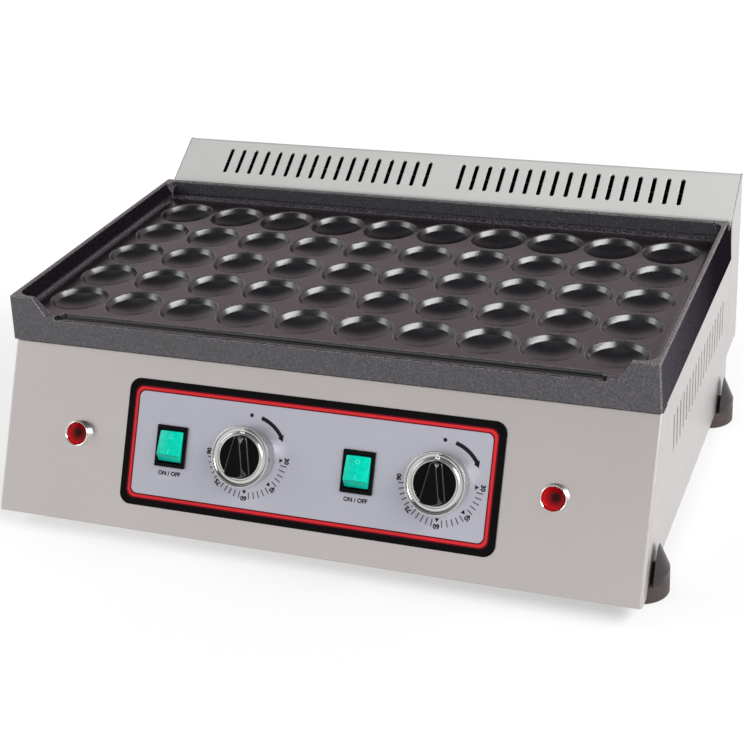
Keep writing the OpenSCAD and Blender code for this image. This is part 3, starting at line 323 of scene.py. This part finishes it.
def coatedCasting():
    # dark non-stick coat: pale flecks in a charcoal ground, browned on the web, worn paler on the rim,
    # and painted shade making it darkest in the dimples and the groove
    material, tree, shader = startMaterial("coatedCasting", casting["tones"]["coat"][1][1], 0.28,
                                           **{"Specular IOR Level": 1.0})
    fleck = objectNoise(tree, 880.0, 2.0)
    tone = {part: rampFrom(tree, fleck, stops) for part, stops in casting["tones"].items()}
    at, turnedTo = coordParts(tree, "Object"), coordParts(tree, "Normal")
    onRim = rangeFrom(tree, at["Z"], 0.0, 1.0, *casting["rimRise"])
    onWeb = product(tree, rangeFrom(tree, at["Y"], 0.0, 1.0, *casting["webFront"]),
                    rangeFrom(tree, at["Z"], 1.0, 0.0, *casting["webRise"]))
    sunk = product(tree, rangeFrom(tree, at["Y"], 0.0, 1.0, *casting["lip"]),
                   rangeFrom(tree, at["Z"], 1.0, 0.0, *casting["sunkRise"]))
    # painted shade: everything sunk below the web, the dimples and the groove, takes a far darker tone
    brownedAndShaded = blend(tree, sunk, blend(tree, onWeb, tone["coat"], tone["web"]), tone["deep"])
    # where a corner's rounded direction leaves the flat one, the coat is painted pale: worn through to bare
    # metal, and also a painted highlight along the edge
    edge = roundedEdge(tree, casting["edge"])
    straight = tree.nodes.new("ShaderNodeNewGeometry")
    bend = tree.nodes.new("ShaderNodeVectorMath")
    bend.operation = "DOT_PRODUCT"
    tree.links.new(edge, bend.inputs[0])
    tree.links.new(straight.outputs["Normal"], bend.inputs[1])
    corner = product(tree, rangeFrom(tree, bend.outputs["Value"], 1.0, 0.0, 0.92, 0.985),
                     rangeFrom(tree, sunk, 1.0, 0.0, 0.0, 1.0))
    # pale rubbed edges: wear, and a painted highlight along the edges
    rubbedAndGlinting = product(tree, corner, rangeFrom(tree, objectNoise(tree, 220.0, 3.0), 0.4, 1.0, 0.35, 0.6))
    coatTone = blend(tree, rubbedAndGlinting, blend(tree, onRim, brownedAndShaded, tone["rim"]), tone["bareAndGlint"])
    tree.links.new(coatTone, shader.inputs["Base Color"])
    tree.links.new(rangeFrom(tree, objectNoise(tree, 60.0, 4.0), 0.22, 0.28), shader.inputs["Roughness"])
    bumpFrom(tree, shader, objectNoise(tree, 900.0, 3.0), 0.12, 0.0004, edge)
    # the upright sides and the rear wall carry a matt dark skin, with painted light and shade: paler outside
    # and towards the front, dark on the inner faces
    skin = dullShader(tree, 0.6, 0.0)
    outward = product(tree, at["X"], turnedTo["X"])
    backward = product(tree, at["Y"], turnedTo["Y"])
    # painted light: the skin is paler on the outward faces, fading towards the rear
    pale = product(tree, rangeFrom(tree, outward, 0.0, 1.0, *casting["outside"]),
                   rangeFrom(tree, at["Y"], 1.0, 0.0, *casting["litTowardsFront"]))
    skinLitAndShaded = blend(tree, rubbedAndGlinting, blend(tree, pale, tone["skin"], tone["litSkin"]), tone["bareAndGlint"])
    tree.links.new(skinLitAndShaded, skin.inputs["Base Color"])
    onSides = rangeFrom(tree, mathNode(tree, "ABSOLUTE", outward), 0.0, 1.0, *casting["sides"])
    onRear = rangeFrom(tree, backward, casting["rearMatt"], 0.0, *casting["rear"])
    layered(tree, mathNode(tree, "MAXIMUM", onSides, onRear), shader, skin)
    return material


def gripPlastic(name, toward):
    # black moulding: dull on the flats that face out of the panel, polished on the edges and sides
    material, tree, shader = startMaterial(name, (0.003, 0.003, 0.0035), 0.12, **{"Specular IOR Level": 0.9})
    grain = objectNoise(tree, 400.0, 3.0)
    tree.links.new(rangeFrom(tree, grain, 0.08, 0.16), shader.inputs["Roughness"])
    flat = dullShader(tree, 0.3, 0.06)
    flatTone = rampFrom(tree, grain, [(0.3, (0.0022, 0.0022, 0.0025)), (0.7, (0.0034, 0.0034, 0.0040))])
    tree.links.new(flatTone, flat.inputs["Base Color"])
    layered(tree, facing(tree, toward, 0.975, 0.99), shader, flat)
    return material


def footRubber(name, seam):
    # brown-black rubber, matt round the base and smoother on the cone above the seam, with painted light and
    # shade: paler round the base, darker on the cone
    material, tree, shader = startMaterial(name, (0.030, 0.022, 0.020), 0.5)
    grain = objectNoise(tree, 600.0, 3.0)
    cone = rangeFrom(tree, coordParts(tree, "Object")["Z"], 0.0, 1.0, seam, seam + 0.0006)
    base = rampFrom(tree, grain, [(0.3, (0.042, 0.029, 0.028)), (0.7, (0.060, 0.043, 0.041))])
    shadedCone = rampFrom(tree, grain, [(0.3, (0.016, 0.011, 0.011)), (0.7, (0.022, 0.015, 0.015))])
    tree.links.new(blend(tree, cone, base, shadedCone), shader.inputs["Base Color"])
    tree.links.new(rangeFrom(tree, cone, 0.6, 0.36, 0.0, 1.0), shader.inputs["Roughness"])
    bumpFrom(tree, shader, grain, 0.15, 0.0002)
    return material


def plainFinish(name, colour, roughness, metallic=0.0, grainScale=400.0, spread=0.08, bump=0.05, **sockets):
    # one colour with a little unevenness in tone, roughness and surface
    material, tree, shader = startMaterial(name, colour, roughness, metallic, **sockets)
    grain = objectNoise(tree, grainScale, 3.0)
    darker = tuple(c * (1 - spread) for c in colour)
    tree.links.new(rampFrom(tree, grain, [(0.3, darker), (0.7, colour)]), shader.inputs["Base Color"])
    uneven = objectNoise(tree, grainScale / 8, 2.0)
    tree.links.new(rangeFrom(tree, uneven, max(0.02, roughness - 0.04), roughness + 0.04),
                   shader.inputs["Roughness"])
    bumpFrom(tree, shader, grain, bump, 0.0002)
    return material


def lampRed(name, middle, reach):
    # painted shade and light on the lens: darkest deep red just right of its middle, painted bright red
    # towards its left edge, fading with the distance from there
    material, tree, shader = startMaterial(name, (0.6, 0.01, 0.01), 0.1, **{"Specular IOR Level": 0.12})
    fade = tree.nodes.new("ShaderNodeTexGradient")
    fade.gradient_type = "SPHERICAL"
    scale = 1.0 / reach
    centred = objectPlace(tree, (scale,) * 3, tuple(float(-v * scale) for v in middle))
    tree.links.new(centred, fade.inputs["Vector"])
    stops = [(0.0, (0.80, 0.006, 0.008)), (0.30, (0.36, 0.001, 0.004)), (0.75, (0.022, 0.0, 0.001))]
    tree.links.new(rampFrom(tree, fade.outputs["Fac"], stops), shader.inputs["Base Color"])
    return material


dull, printed = {"Specular IOR Level": 0.2}, {"Specular IOR Level": 0.06}
finish = {
    "frontSteel": satinSteel("frontSteel", (0.582, 0.543, 0.531), (0.02, 1, 1)),
    "sideSteel": satinSteel("sideSteel", (0.558, 0.535, 0.528), (1, 0.02, 1)),
    # the flue cover and the flue back get painted shade on their sides that face into the flue
    "flueSteel": satinSteel("flueSteel", (0.70, 0.705, 0.68), (0.02, 1, 1), 0.32,
                            ((0, 0.52, -0.85), 0.7), 0.55),
    "flueBackSteel": satinSteel("flueBackSteel", (0.60, 0.585, 0.56), (0.02, 1, 1), 0.34,
                                ((0, -0.71, 0.71), 0.3)),
    "casting": coatedCasting(),
    "fasciaSilver": plainFinish("fasciaSilver", (0.50, 0.50, 0.57), 0.38, 0.55, 700.0, 0.05, 0.04),
    "borderBlack": plainFinish("borderBlack", (0.003, 0.0025, 0.003), 0.35, **printed),
    "lineRed": plainFinish("lineRed", (0.68, 0.030, 0.036), 0.35, **printed),
    "lineDark": plainFinish("lineDark", (0.13, 0.005, 0.012), 0.35, **printed),
    "printBlack": plainFinish("printBlack", (0.005, 0.004, 0.007), 0.5, **dull),
    "printGrey": plainFinish("printGrey", (0.11, 0.105, 0.14), 0.5, **dull),
    "pointerWhite": plainFinish("pointerWhite", (0.88, 0.85, 0.82), 0.35),
    "switchBlack": plainFinish("switchBlack", (0.004, 0.004, 0.004), 0.42, **printed),
    "rockerGreen": plainFinish("rockerGreen", (0.001, 0.70, 0.50), 0.24, 0.0, 260.0, 0.2, 0.03, **dull),
    "rockerMark": plainFinish("rockerMark", (0.10, 0.86, 0.66), 0.3),
    "rockerShade": plainFinish("rockerShade", (0.001, 0.20, 0.14), 0.3, **dull),
    "gripBlack": gripPlastic("gripBlack", tuple(panelAxes[2])),
    "knobChrome": plainFinish("knobChrome", (0.60, 0.59, 0.58), 0.25, 1.0, 300.0, 0.03, 0.02),
    "lampChrome": plainFinish("lampChrome", (0.78, 0.77, 0.75), 0.06, 1.0, 300.0, 0.03, 0.01),
    "footRubber": footRubber("footRubber", 0.0135),
    "zincPlate": plainFinish("zincPlate", (0.60, 0.60, 0.60), 0.35, 1.0),
    "shieldSheet": plainFinish("shieldSheet", (0.72, 0.72, 0.72), 0.30, 1.0),
    "heaterTube": plainFinish("heaterTube", (0.16, 0.14, 0.13), 0.45, 1.0),
    "copperTube": plainFinish("copperTube", (0.62, 0.32, 0.18), 0.30, 1.0),
    "paleMoulding": plainFinish("paleMoulding", (0.72, 0.70, 0.64), 0.45),
    "blackMoulding": plainFinish("blackMoulding", (0.015, 0.015, 0.015), 0.5),
}
# painted shade: where the lens's dark spot sits and how far it reaches
lensShade = {"shift": [0.0018, 0.0, 0.0012], "reach": 0.0105}
for side in ("left", "right"):
    shadeSpotAt = nodeMiddle(f"{side}_lamp_lens") + lensShade["shift"]
    finish[f"{side}LensRed"] = lampRed(f"{side}LensRed", shadeSpotAt, lensShade["reach"])

cadFinish = {
    "frontSteel": ["front_panel", "rear_panel", "base_tray", "heater_clamps", "sensor_clips"],
    "sideSteel": ["left_side_panel", "right_side_panel", "flue_left_end", "flue_right_end",
                  "left_support_rail", "right_support_rail"],
    "flueSteel": ["flue_cover"],
    "flueBackSteel": ["flue_back"],
    "casting": ["cooking_plate"],
    "fasciaSilver": ["control_fascia"],
    "switchBlack": ["left_switch_body", "right_switch_body"],
    "rockerGreen": ["left_rocker", "right_rocker"],
    "gripBlack": ["left_knob_grip", "right_knob_grip"],
    "knobChrome": ["left_knob_ring", "right_knob_ring"],
    "lampChrome": ["left_lamp_bezel", "right_lamp_bezel"],
    "leftLensRed": ["left_lamp_lens"],
    "rightLensRed": ["right_lamp_lens"],
    "footRubber": ["front_left_foot", "front_right_foot", "rear_left_foot", "rear_right_foot"],
    "shieldSheet": ["heat_shield"],
    "heaterTube": ["left_heating_element", "right_heating_element"],
    "copperTube": ["left_sensor", "right_sensor"],
    "paleMoulding": ["left_thermostat", "right_thermostat", "left_lamp_body", "right_lamp_body",
                     "terminal_block"],
    "blackMoulding": ["cable_gland", "gland_nut"],
    "zincPlate": ["plate_bolts", "clamp_studs", "clamp_nuts", "thermostat_screws", "foot_screws",
                  "foot_nuts", "base_screws", "left_thermostat_shaft", "right_thermostat_shaft",
                  "left_lamp_nut", "right_lamp_nut"],
}
for finishName, nodeNames in cadFinish.items():
    for nodeName in nodeNames:
        cad[nodeName].data.materials.clear()
        cad[nodeName].data.materials.append(finish[finishName])
print("finishes on CAD nodes")

# printed border of the control fascia
border = {"lift": 0.06, "foot": 0.05, "tighten": 0.45,
          "bands": [("borderBlack", -0.05, 5.2), ("lineDark", 5.2, 6.2), ("lineRed", 6.2, 8.3),
                    ("lineDark", 8.3, 9.3)]}
controlUp = panelSpot("left_knob_turn")[1]
fasciaX = nodeMiddle("control_fascia")[0] * 1000.0
fasciaW, fasciaH, fasciaR, fasciaT = panel["fascia"]
for index, (finishName, start, end) in enumerate(border["bands"]):
    edges = [roundOutline(fasciaW - 2 * d, fasciaH - 2 * d, fasciaR - border["tighten"] * d)
             for d in (start, end)]
    heights = [fasciaT + border["lift"]] * 2
    if index == 0:  # the outermost band also covers the sheet's edge
        edges, heights = [edges[0]] + edges, [border["foot"]] + heights
    band = np.stack([np.column_stack([e[:, 0] + fasciaX, e[:, 1] + controlUp, np.full(len(e), h)])
                     for e, h in zip(edges, heights)])
    piece = gridPiece(f"fascia_band_{index}", onPanel(band), finish[finishName], "housing",
                      wrapV=True, smooth=False)
print("fascia border printed")

# dial marks round each knob
dial = {"numbers": {"30": 90, "45": 135, "60": 180, "75": 225, "90": 270}, "numberR": 31.9, "numberSize": 4.9,
        "numberWeight": 0.24, "wedgeR": (26.0, 29.0), "wedgeHalf": 3.8, "tickR": (27.4, 32.6), "tickW": 0.95,
        "tickStep": 7.5, "arrowR": 31.0, "arrow": (15.5, 55.5), "arrowW": 3.0, "headHalf": 2.7,
        "headBack": 1.0, "headTip": (-0.4, 7.5), "dotR": 31.1, "dotSize": 1.5, "lift": 1.06}


def dialPoint(spot, radius, degrees):  # clockwise from the top: across = r sin a, up = r cos a
    a = np.radians(degrees)
    lift = np.full(np.shape(a), dial["lift"])
    return np.stack([spot[0] + radius * np.sin(a), spot[1] + radius * np.cos(a), lift], -1)


for side in ("left", "right"):
    spot = panelSpot(f"{side}_knob_turn")
    for words, degrees in dial["numbers"].items():
        place = dialPoint(spot, dial["numberR"], np.float64(degrees))
        flatText(f"{side}_dial_{words}", words, dial["numberSize"], place, math.radians(degrees),
                 dial["lift"], finish["printBlack"], "housing", dial["numberWeight"])
    marks = np.array(list(dial["numbers"].values()), float)
    wedgeIn, wedgeOut = dial["wedgeR"]
    wedge = np.stack([dialPoint(spot, wedgeIn, marks - dial["wedgeHalf"]),
                      dialPoint(spot, wedgeIn, marks + dial["wedgeHalf"]),
                      dialPoint(spot, wedgeOut, marks)], 1).reshape(-1, 3)
    wedgeFaces = np.arange(len(wedge)).reshape(-1, 3)[:, ::-1].tolist()
    meshPiece(f"{side}_dial_wedges", onPanel(wedge), wedgeFaces, finish["printBlack"], "housing",
              smooth=False)
    ticks = np.arange(marks[0] + dial["tickStep"], marks[-1], dial["tickStep"])
    ticks = ticks[np.abs((ticks - marks[0]) % (marks[1] - marks[0])) > 1]  # none at a number
    inner, outer = dial["tickR"]
    halfIn, halfOut = np.degrees(dial["tickW"] / 2 / inner), np.degrees(dial["tickW"] / 2 / outer)
    bars = np.stack([dialPoint(spot, inner, ticks - halfIn), dialPoint(spot, outer, ticks - halfOut),
                     dialPoint(spot, outer, ticks + halfOut), dialPoint(spot, inner, ticks + halfIn)], 1)
    tickFaces = np.arange(bars.size // 3).reshape(-1, 4).tolist()
    meshPiece(f"{side}_dial_ticks", onPanel(bars.reshape(-1, 3)), tickFaces, finish["printGrey"], "housing",
              smooth=False)
    sweep = np.linspace(*dial["arrow"], 24)
    arrowR, halfArrow = dial["arrowR"], dial["arrowW"] / 2
    arc = np.stack([dialPoint(spot, arrowR + halfArrow, sweep), dialPoint(spot, arrowR - halfArrow, sweep)])
    gridPiece(f"{side}_dial_arc", onPanel(arc), finish["printBlack"], "housing", smooth=False)
    headFrom = dial["arrow"][1] - dial["headBack"]
    tip = dialPoint(spot, arrowR + np.array([-dial["headHalf"], dial["headHalf"], dial["headTip"][0]]),
                    np.array([headFrom, headFrom, dial["arrow"][1] + dial["headTip"][1]]))
    meshPiece(f"{side}_dial_arrowhead", onPanel(tip), [[0, 1, 2]], finish["printBlack"], "housing",
              smooth=False)
    dot = np.linspace(0, 2 * math.pi, 20, endpoint=False)
    dotAt = dialPoint(spot, dial["dotR"], np.float64(0))
    disc = dotAt + dial["dotSize"] * np.stack([np.cos(dot), np.sin(dot), 0 * dot], -1)
    meshPiece(f"{side}_dial_dot", onPanel(disc), [list(range(len(disc)))], finish["printBlack"], "housing",
              smooth=False)
print("dials printed")

# knobs: a chrome ring with a dished channel, a black grip with its finger bar, a white pointer
knob = {"base": 1.6, "top": 16.6, "ringR": 23.25, "footR": 21.75, "gripR": 16.0, "dishR": 19.65, "dish": 2.7,
        "dishShare": 0.92, "dishRise": 0.35, "hollowR": 18.3, "hollow": 5.0, "gripFoot": 4.0, "disc": 15.6,
        "barTop": 25.6, "barHalf": 4.8, "barLean": 0.194, "barEnd": 15.2, "barBlend": 14.0}
top, ringR, gripR = knob["top"], knob["ringR"], knob["gripR"]
channelHalf = knob["dishShare"] * knob["dish"]
channel = np.linspace(knob["dishR"] + channelHalf, knob["dishR"] - channelHalf, 17)
# the channel is an arc: out = top + rise * d - sqrt(d^2 - (r - middle)^2)
channelDrop = np.sqrt(knob["dish"] ** 2 - (channel - knob["dishR"]) ** 2)
channelOut = top + knob["dishRise"] * knob["dish"] - channelDrop
ringProfile = np.vstack([
    [[knob["hollowR"], knob["base"]], [knob["footR"] - 0.3, knob["base"]],
     [knob["footR"], knob["base"] + 0.3], [ringR - 0.06, top - 0.6], [ringR - 0.04, top - 0.35],
     [ringR - 0.15, top - 0.12], [ringR - 0.4, top], [ringR - 0.75, top], [ringR - 0.98, top - 0.06]],
    np.column_stack([channel, channelOut]),
    [[gripR + 0.98, top - 0.06], [gripR + 0.8, top], [gripR + 0.4, top], [gripR + 0.15, top - 0.12],
     [gripR + 0.06, top - 0.4], [gripR + 0.06, knob["hollow"]], [knob["hollowR"], knob["hollow"]]]])
turn = np.linspace(0, 2 * math.pi, 168, endpoint=False)


def barOutline(outward):
    # wedge of half-width w - k y meeting a round end: rho = w / (|sin a| + k cos a), softly limited
    # by the end's radius
    lean = np.maximum(np.abs(np.sin(turn)) + knob["barLean"] * np.cos(turn), 1e-4)
    wedge = (knob["barHalf"] + outward) / lean
    power = knob["barBlend"]
    return (wedge ** -power + (knob["barEnd"] + 0.5 * outward) ** -power) ** (-1 / power)


# each loop of the grip is a radius round the knob and its height out of the panel
gripLoops = [(0 * turn, knob["gripFoot"]), (0 * turn + gripR - 0.05, knob["gripFoot"]),
             (0 * turn + gripR - 0.05, knob["disc"] - 0.3), (0 * turn + gripR - 0.3, knob["disc"])]
for outward, out, limit in [(2.3, 0.0, 0.45), (1.75, 0.12, 0.5), (1.4, 0.4, 0.55), (1.2, 0.9, 0.6)]:
    gripLoops.append((np.minimum(barOutline(outward), gripR - limit), knob["disc"] + out))
for outward, drop in [(0.32, 0.75), (0.22, 0.38), (0.0, 0.12), (-0.35, 0.0), (-1.4, 0.0)]:
    gripLoops.append((barOutline(outward), knob["barTop"] - drop))
gripLoops += [(0.5 * barOutline(-1.4), knob["barTop"]), (0 * turn, knob["barTop"])]
pointer = {"corners": [(-2.15, 17.7), (2.15, 17.7), (0.0, 22.1)], "line": 0.75,
           "inRadius": 1.35, "lift": 0.09}
for side in ("left", "right"):
    spot = panelSpot(f"{side}_knob_turn")
    body = f"{side}_knob"
    ring = turned(f"{side}_ring", ringProfile, spot, finish["knobChrome"], body, 128)
    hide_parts(f"{side}_knob_ring")
    gripGrid = np.stack([
        np.stack([spot[0] + rho * np.sin(turn), spot[1] + rho * np.cos(turn), 0 * turn + out], -1)
        for rho, out in gripLoops
    ])
    grip = gridPiece(f"{side}_grip", onPanel(gripGrid), finish["gripBlack"], body, wrapV=True, solid=True)
    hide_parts(f"{side}_knob_grip")
    # the pointer is a three-sided frame laid on the channel
    outerRing = np.array(pointer["corners"])
    middle = outerRing.mean(0)
    innerRing = middle + (outerRing - middle) * (1 - pointer["line"] / pointer["inRadius"])
    walk = np.arange(0, 3, 0.125)
    frameGrid = np.stack([
        np.stack([np.interp(walk, np.arange(4), np.append(line, line[0])) for line in loop.T], -1)
        for loop in (outerRing, innerRing)
    ])
    reach = np.hypot(frameGrid[..., 0], frameGrid[..., 1])
    out = np.interp(reach, channel[::-1], channelOut[::-1]) + pointer["lift"]
    pointerGrid = np.stack([spot[0] + frameGrid[..., 0], spot[1] + frameGrid[..., 1], out], -1)
    mark = gridPiece(f"{side}_pointer", onPanel(pointerGrid), finish["pointerWhite"], body,
                     wrapV=True, smooth=False)
print("knobs made")

# rockers: a rounded prism tipped about its pivot, with a ring and a bar raised on its face
rocker = {"tip": math.radians(-12), "half": 9.55, "face": 7.4,
          "section": [(10.5, 7.4), (12.4, 0.6), (10.5, -3.4), (-10.5, -3.4), (-12.3, 0.6), (-8.0, 7.4)],
          "round": [0.7, 0.8, 0.5, 0.5, 0.8, 0.45], "ringAt": 6.3, "ringR": 1.75, "barAt": -5.0,
          "barHalf": 1.7, "line": 0.5, "lift": 0.05, "shade": (0.25, 0.8), "shadeInset": 0.6}
caption = {"words": "ON / OFF", "size": 4.5, "below": 21.0, "lift": 1.06, "weight": 0.2}


def tipped(spot, across, along, up):  # the rocker's own frame turned about its pivot by the tip angle
    c, s = math.cos(rocker["tip"]), math.sin(rocker["tip"])
    return np.stack([spot[0] + across, spot[1] + along * c - up * s, spot[2] + along * s + up * c], -1)


section = roundLoop(rocker["section"], rocker["round"])
along = np.roll(section, -1, axis=0) - np.roll(section, 1, axis=0)
lengths = np.maximum(np.linalg.norm(along, axis=1), 1e-9)[:, None]
sideways = np.stack([along[:, 1], -along[:, 0]], -1) / lengths
if (sideways * (section - section.mean(0))).sum() < 0:
    sideways = -sideways
half = rocker["half"]
slices = [(-half, None), (-half, 0.55), (-half + 0.12, 0.22), (-half + 0.45, 0.0), (half - 0.45, 0.0),
          (half - 0.12, 0.22), (half, 0.55), (half, None)]
rows = [np.broadcast_to(section.mean(0), section.shape) if inset is None else section - inset * sideways
        for _, inset in slices]
for side in ("left", "right"):
    spot = panelSpot(f"{side}_rocker_tip")
    body = f"{side}_rocker_body"
    grid = np.stack([tipped(spot, np.full(len(section), across), row[:, 0], row[:, 1])
                     for (across, _), row in zip(slices, rows)])
    piece = gridPiece(f"{side}_rocker_cap", onPanel(grid), finish["rockerGreen"], body,
                      wrapV=True, solid=True)
    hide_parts(f"{side}_rocker")
    around = np.linspace(0, 2 * math.pi, 40, endpoint=False)
    radii = np.array([rocker["ringR"] - rocker["line"], rocker["ringR"]])[:, None]
    ringGrid = tipped(spot, radii * np.cos(around), rocker["ringAt"] + radii * np.sin(around),
                      np.full((2, len(around)), rocker["face"] + rocker["lift"]))
    mark = gridPiece(f"{side}_rocker_ring", onPanel(ringGrid), finish["rockerMark"], body,
                     wrapV=True, smooth=False)
    barAcross = rocker["line"] / 2 * np.array([[-1, 1], [-1, 1]])
    barAlong = rocker["barAt"] + rocker["barHalf"] * np.array([[-1, -1], [1, 1]])
    barGrid = tipped(spot, barAcross, barAlong, np.full((2, 2), rocker["face"] + rocker["lift"]))
    mark = gridPiece(f"{side}_rocker_bar", onPanel(barGrid), finish["rockerMark"], body, smooth=False)
    # a shade line just below the face's lower edge, along the sloping lip
    edge, foot = np.array(rocker["section"][5]), np.array(rocker["section"][4])
    down = (foot - edge) / np.linalg.norm(foot - edge)
    outOfLip = np.array([down[1], -down[0]])
    lipAt = edge + np.array(rocker["shade"])[:, None] * down + rocker["lift"] * outOfLip
    lipAcross = np.array([[-1.0, 1.0]] * 2) * (rocker["half"] - rocker["shadeInset"])
    lipGrid = tipped(spot, lipAcross, lipAt[:, :1] + np.zeros((2, 2)), lipAt[:, 1:] + np.zeros((2, 2)))
    mark = gridPiece(f"{side}_rocker_shade", onPanel(lipGrid), finish["rockerShade"], body, smooth=False)
    captionSpot = (spot[0], spot[1] - caption["below"])
    flatText(f"{side}_switch_caption", caption["words"], caption["size"], captionSpot, 0.0, caption["lift"],
             finish["printBlack"], "housing", caption["weight"])
print("rockers and captions made")

# pilot lamps: a chrome bezel flaring in to a domed red lens
lamp = {"foot": 10.5, "rim": 9.8, "tall": 7.5, "lensR": 8.0, "lensFoot": 4.0, "lensEdge": 5.5, "dome": 1.0,
        "boreR": 6.0, "seat": 0.05, "pocket": 3.8}
lampProfile = [(lamp["boreR"], lamp["seat"]), (lamp["foot"], lamp["seat"]), (lamp["foot"], 0.5),
               (lamp["foot"] - 0.1, 0.8),
               (lamp["rim"] + 0.06, lamp["tall"] - 0.9), (lamp["rim"] - 0.02, lamp["tall"] - 0.45),
               (lamp["rim"] - 0.2, lamp["tall"] - 0.12), (lamp["rim"] - 0.45, lamp["tall"]),
               (lamp["rim"] - 0.7, lamp["tall"] - 0.08), (lamp["rim"] - 0.92, lamp["tall"] - 0.35),
               (lamp["lensR"] + 0.08, lamp["lensEdge"]), (lamp["lensR"] + 0.05, lamp["pocket"] + 0.1),
               (lamp["boreR"], lamp["pocket"])]
sink = np.linspace(0, math.pi / 2, 12)
# dome: r = R sin t, out = edge + rise cos t, from the pole outwards
domeOut = lamp["lensEdge"] + lamp["dome"] * np.cos(sink)
lensProfile = np.vstack([np.column_stack([lamp["lensR"] * np.sin(sink), domeOut]),
                         [[lamp["lensR"], lamp["lensFoot"]], [0.0, lamp["lensFoot"]]]])
for side in ("left", "right"):
    spot = (nodeMiddle(f"{side}_lamp_bezel")[0] * 1000.0, controlUp)
    bezel = turned(f"{side}_lamp_ring", lampProfile, spot, finish["lampChrome"], "housing")
    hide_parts(f"{side}_lamp_bezel")
    lensPiece = turned(f"{side}_lamp_dome", lensProfile, spot, finish[f"{side}LensRed"], "housing")
    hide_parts(f"{side}_lamp_lens")
print("lamps made")

# stage: white floor that keeps the shadow, studio boxes, camera at the photograph's angle
floorPlan = {"tone": (0.45, 0.45, 0.45), "glow": (0.39, 0.98), "centre": (0.3, -0.1, 0.0), "reach": 1.8,
             "half": 6.0, "under": 0.0005}
floorMaterial, floorTree, floorShader = startMaterial("paleFloor", floorPlan["tone"], 0.9)
lightPath = floorTree.nodes.new("ShaderNodeLightPath")
cameraRay, glossyRay, throughRay = [lightPath.outputs[f"Is {kind} Ray"]
                                    for kind in ("Camera", "Glossy", "Transmission")]
seenBy = mathNode(floorTree, "MAXIMUM", mathNode(floorTree, "MAXIMUM", cameraRay, glossyRay), throughRay)
# the floor's own glow rises away from the object, where less light falls on it
away = floorTree.nodes.new("ShaderNodeVectorMath")
away.operation = "LENGTH"
fromCentre = objectPlace(floorTree, (1, 1, 1), [-v for v in floorPlan["centre"]])
floorTree.links.new(fromCentre, away.inputs["Vector"])
glow = rangeFrom(floorTree, away.outputs["Value"], *floorPlan["glow"], 0.0, floorPlan["reach"])
floorTree.links.new(product(floorTree, seenBy, glow), floorShader.inputs["Emission Strength"])
floorShader.inputs["Emission Color"].default_value = (1, 1, 1, 1)
floorCorners = np.array([[-1, -1, 0], [1, -1, 0], [1, 1, 0], [-1, 1, 0]], float)
floorPoints = floorPlan["half"] * floorCorners - [0, 0, floorPlan["under"]]
floorMesh = bpy.data.meshes.new("paleFloor")
floorMesh.from_pydata(floorPoints.tolist(), [], [[0, 1, 2, 3]])
floorMesh.materials.append(floorMaterial)
floor = bpy.data.objects.new("paleFloor", floorMesh)
bpy.context.scene.collection.objects.link(floor)

# the room: bright low down, dark overhead, a warmer and duller wall behind the object
room = {"bright": (0.93, 0.93, 0.93), "overhead": (0.08, 0.08, 0.085), "turnsDark": (0.40, 0.66),
        "behind": (0.68, 0.565, 0.59), "turnsBehind": (0.45, 0.75)}
world = bpy.data.worlds.new("studio")
bpy.context.scene.world = world
world.use_nodes = True
sky = world.node_tree
background = sky.nodes["Background"]
direction = sky.nodes.new("ShaderNodeTexCoord")
parts = sky.nodes.new("ShaderNodeSeparateXYZ")
sky.links.new(direction.outputs["Generated"], parts.inputs["Vector"])
darkFrom, darkTo = room["turnsDark"]
skyTone, behindTone = [rampFrom(sky, parts.outputs["Z"], [(darkFrom, room[low]), (darkTo, room["overhead"])])
                       for low in ("bright", "behind")]
behind = rangeFrom(sky, parts.outputs["Y"], 0.0, 1.0, *room["turnsBehind"])
skyPath = sky.nodes.new("ShaderNodeLightPath")
plain = sky.nodes.new("ShaderNodeMix")  # the camera itself sees a plain pale room
plain.data_type = "RGBA"
plain.inputs["B"].default_value = (*room["bright"], 1)
sky.links.new(skyPath.outputs["Is Camera Ray"], plain.inputs["Factor"])
sky.links.new(blend(sky, behind, skyTone, behindTone), plain.inputs["A"])
sky.links.new(plain.outputs["Result"], background.inputs["Color"])
background.inputs["Strength"].default_value = 1.0


def softLight(name, place, target, size, watts):
    light = bpy.data.lights.new(name, "AREA")
    light.shape, light.size, light.size_y = "RECTANGLE", size[0], size[1]
    light.energy = watts
    lampObject = bpy.data.objects.new(name, light)
    lampObject.location = place
    lampObject.rotation_euler = (Vector(target) - Vector(place)).to_track_quat("-Z", "Y").to_euler()
    bpy.context.scene.collection.objects.link(lampObject)


boxes = {"keyBox": {"place": (1.08, -0.33, 0.97), "target": (0, 0, 0.15), "size": (1.7, 0.5), "watts": 24},
         "leftBox": {"place": (-1.26, -0.38, 0.9), "target": (0, 0, 0.15), "size": (0.9, 0.6), "watts": 5},
         "flueBox": {"place": (-0.45, 0.3, 1.46), "target": (-0.45, 0.3, 0), "size": (2.0, 0.4), "watts": 2}}
for name, box in boxes.items():
    softLight(name, **box)

viewpoint = {"lens": 78.747, "sensor": 36.0, "place": (0.4473, -1.1349, 0.6706),
             "turn": (63.752, 3.167, 20.402)}
lens = bpy.data.cameras.new("photoCamera")
lens.lens = viewpoint["lens"]
lens.sensor_width, lens.sensor_fit = viewpoint["sensor"], "AUTO"
lens.clip_start, lens.clip_end = 0.01, 50.0
camera = bpy.data.objects.new("photoCamera", lens)
camera.location = viewpoint["place"]
camera.rotation_euler = np.radians(viewpoint["turn"])
bpy.context.scene.collection.objects.link(camera)
bpy.context.scene.camera = camera
bpy.context.scene.view_settings.view_transform = "Standard"
print("stage set")
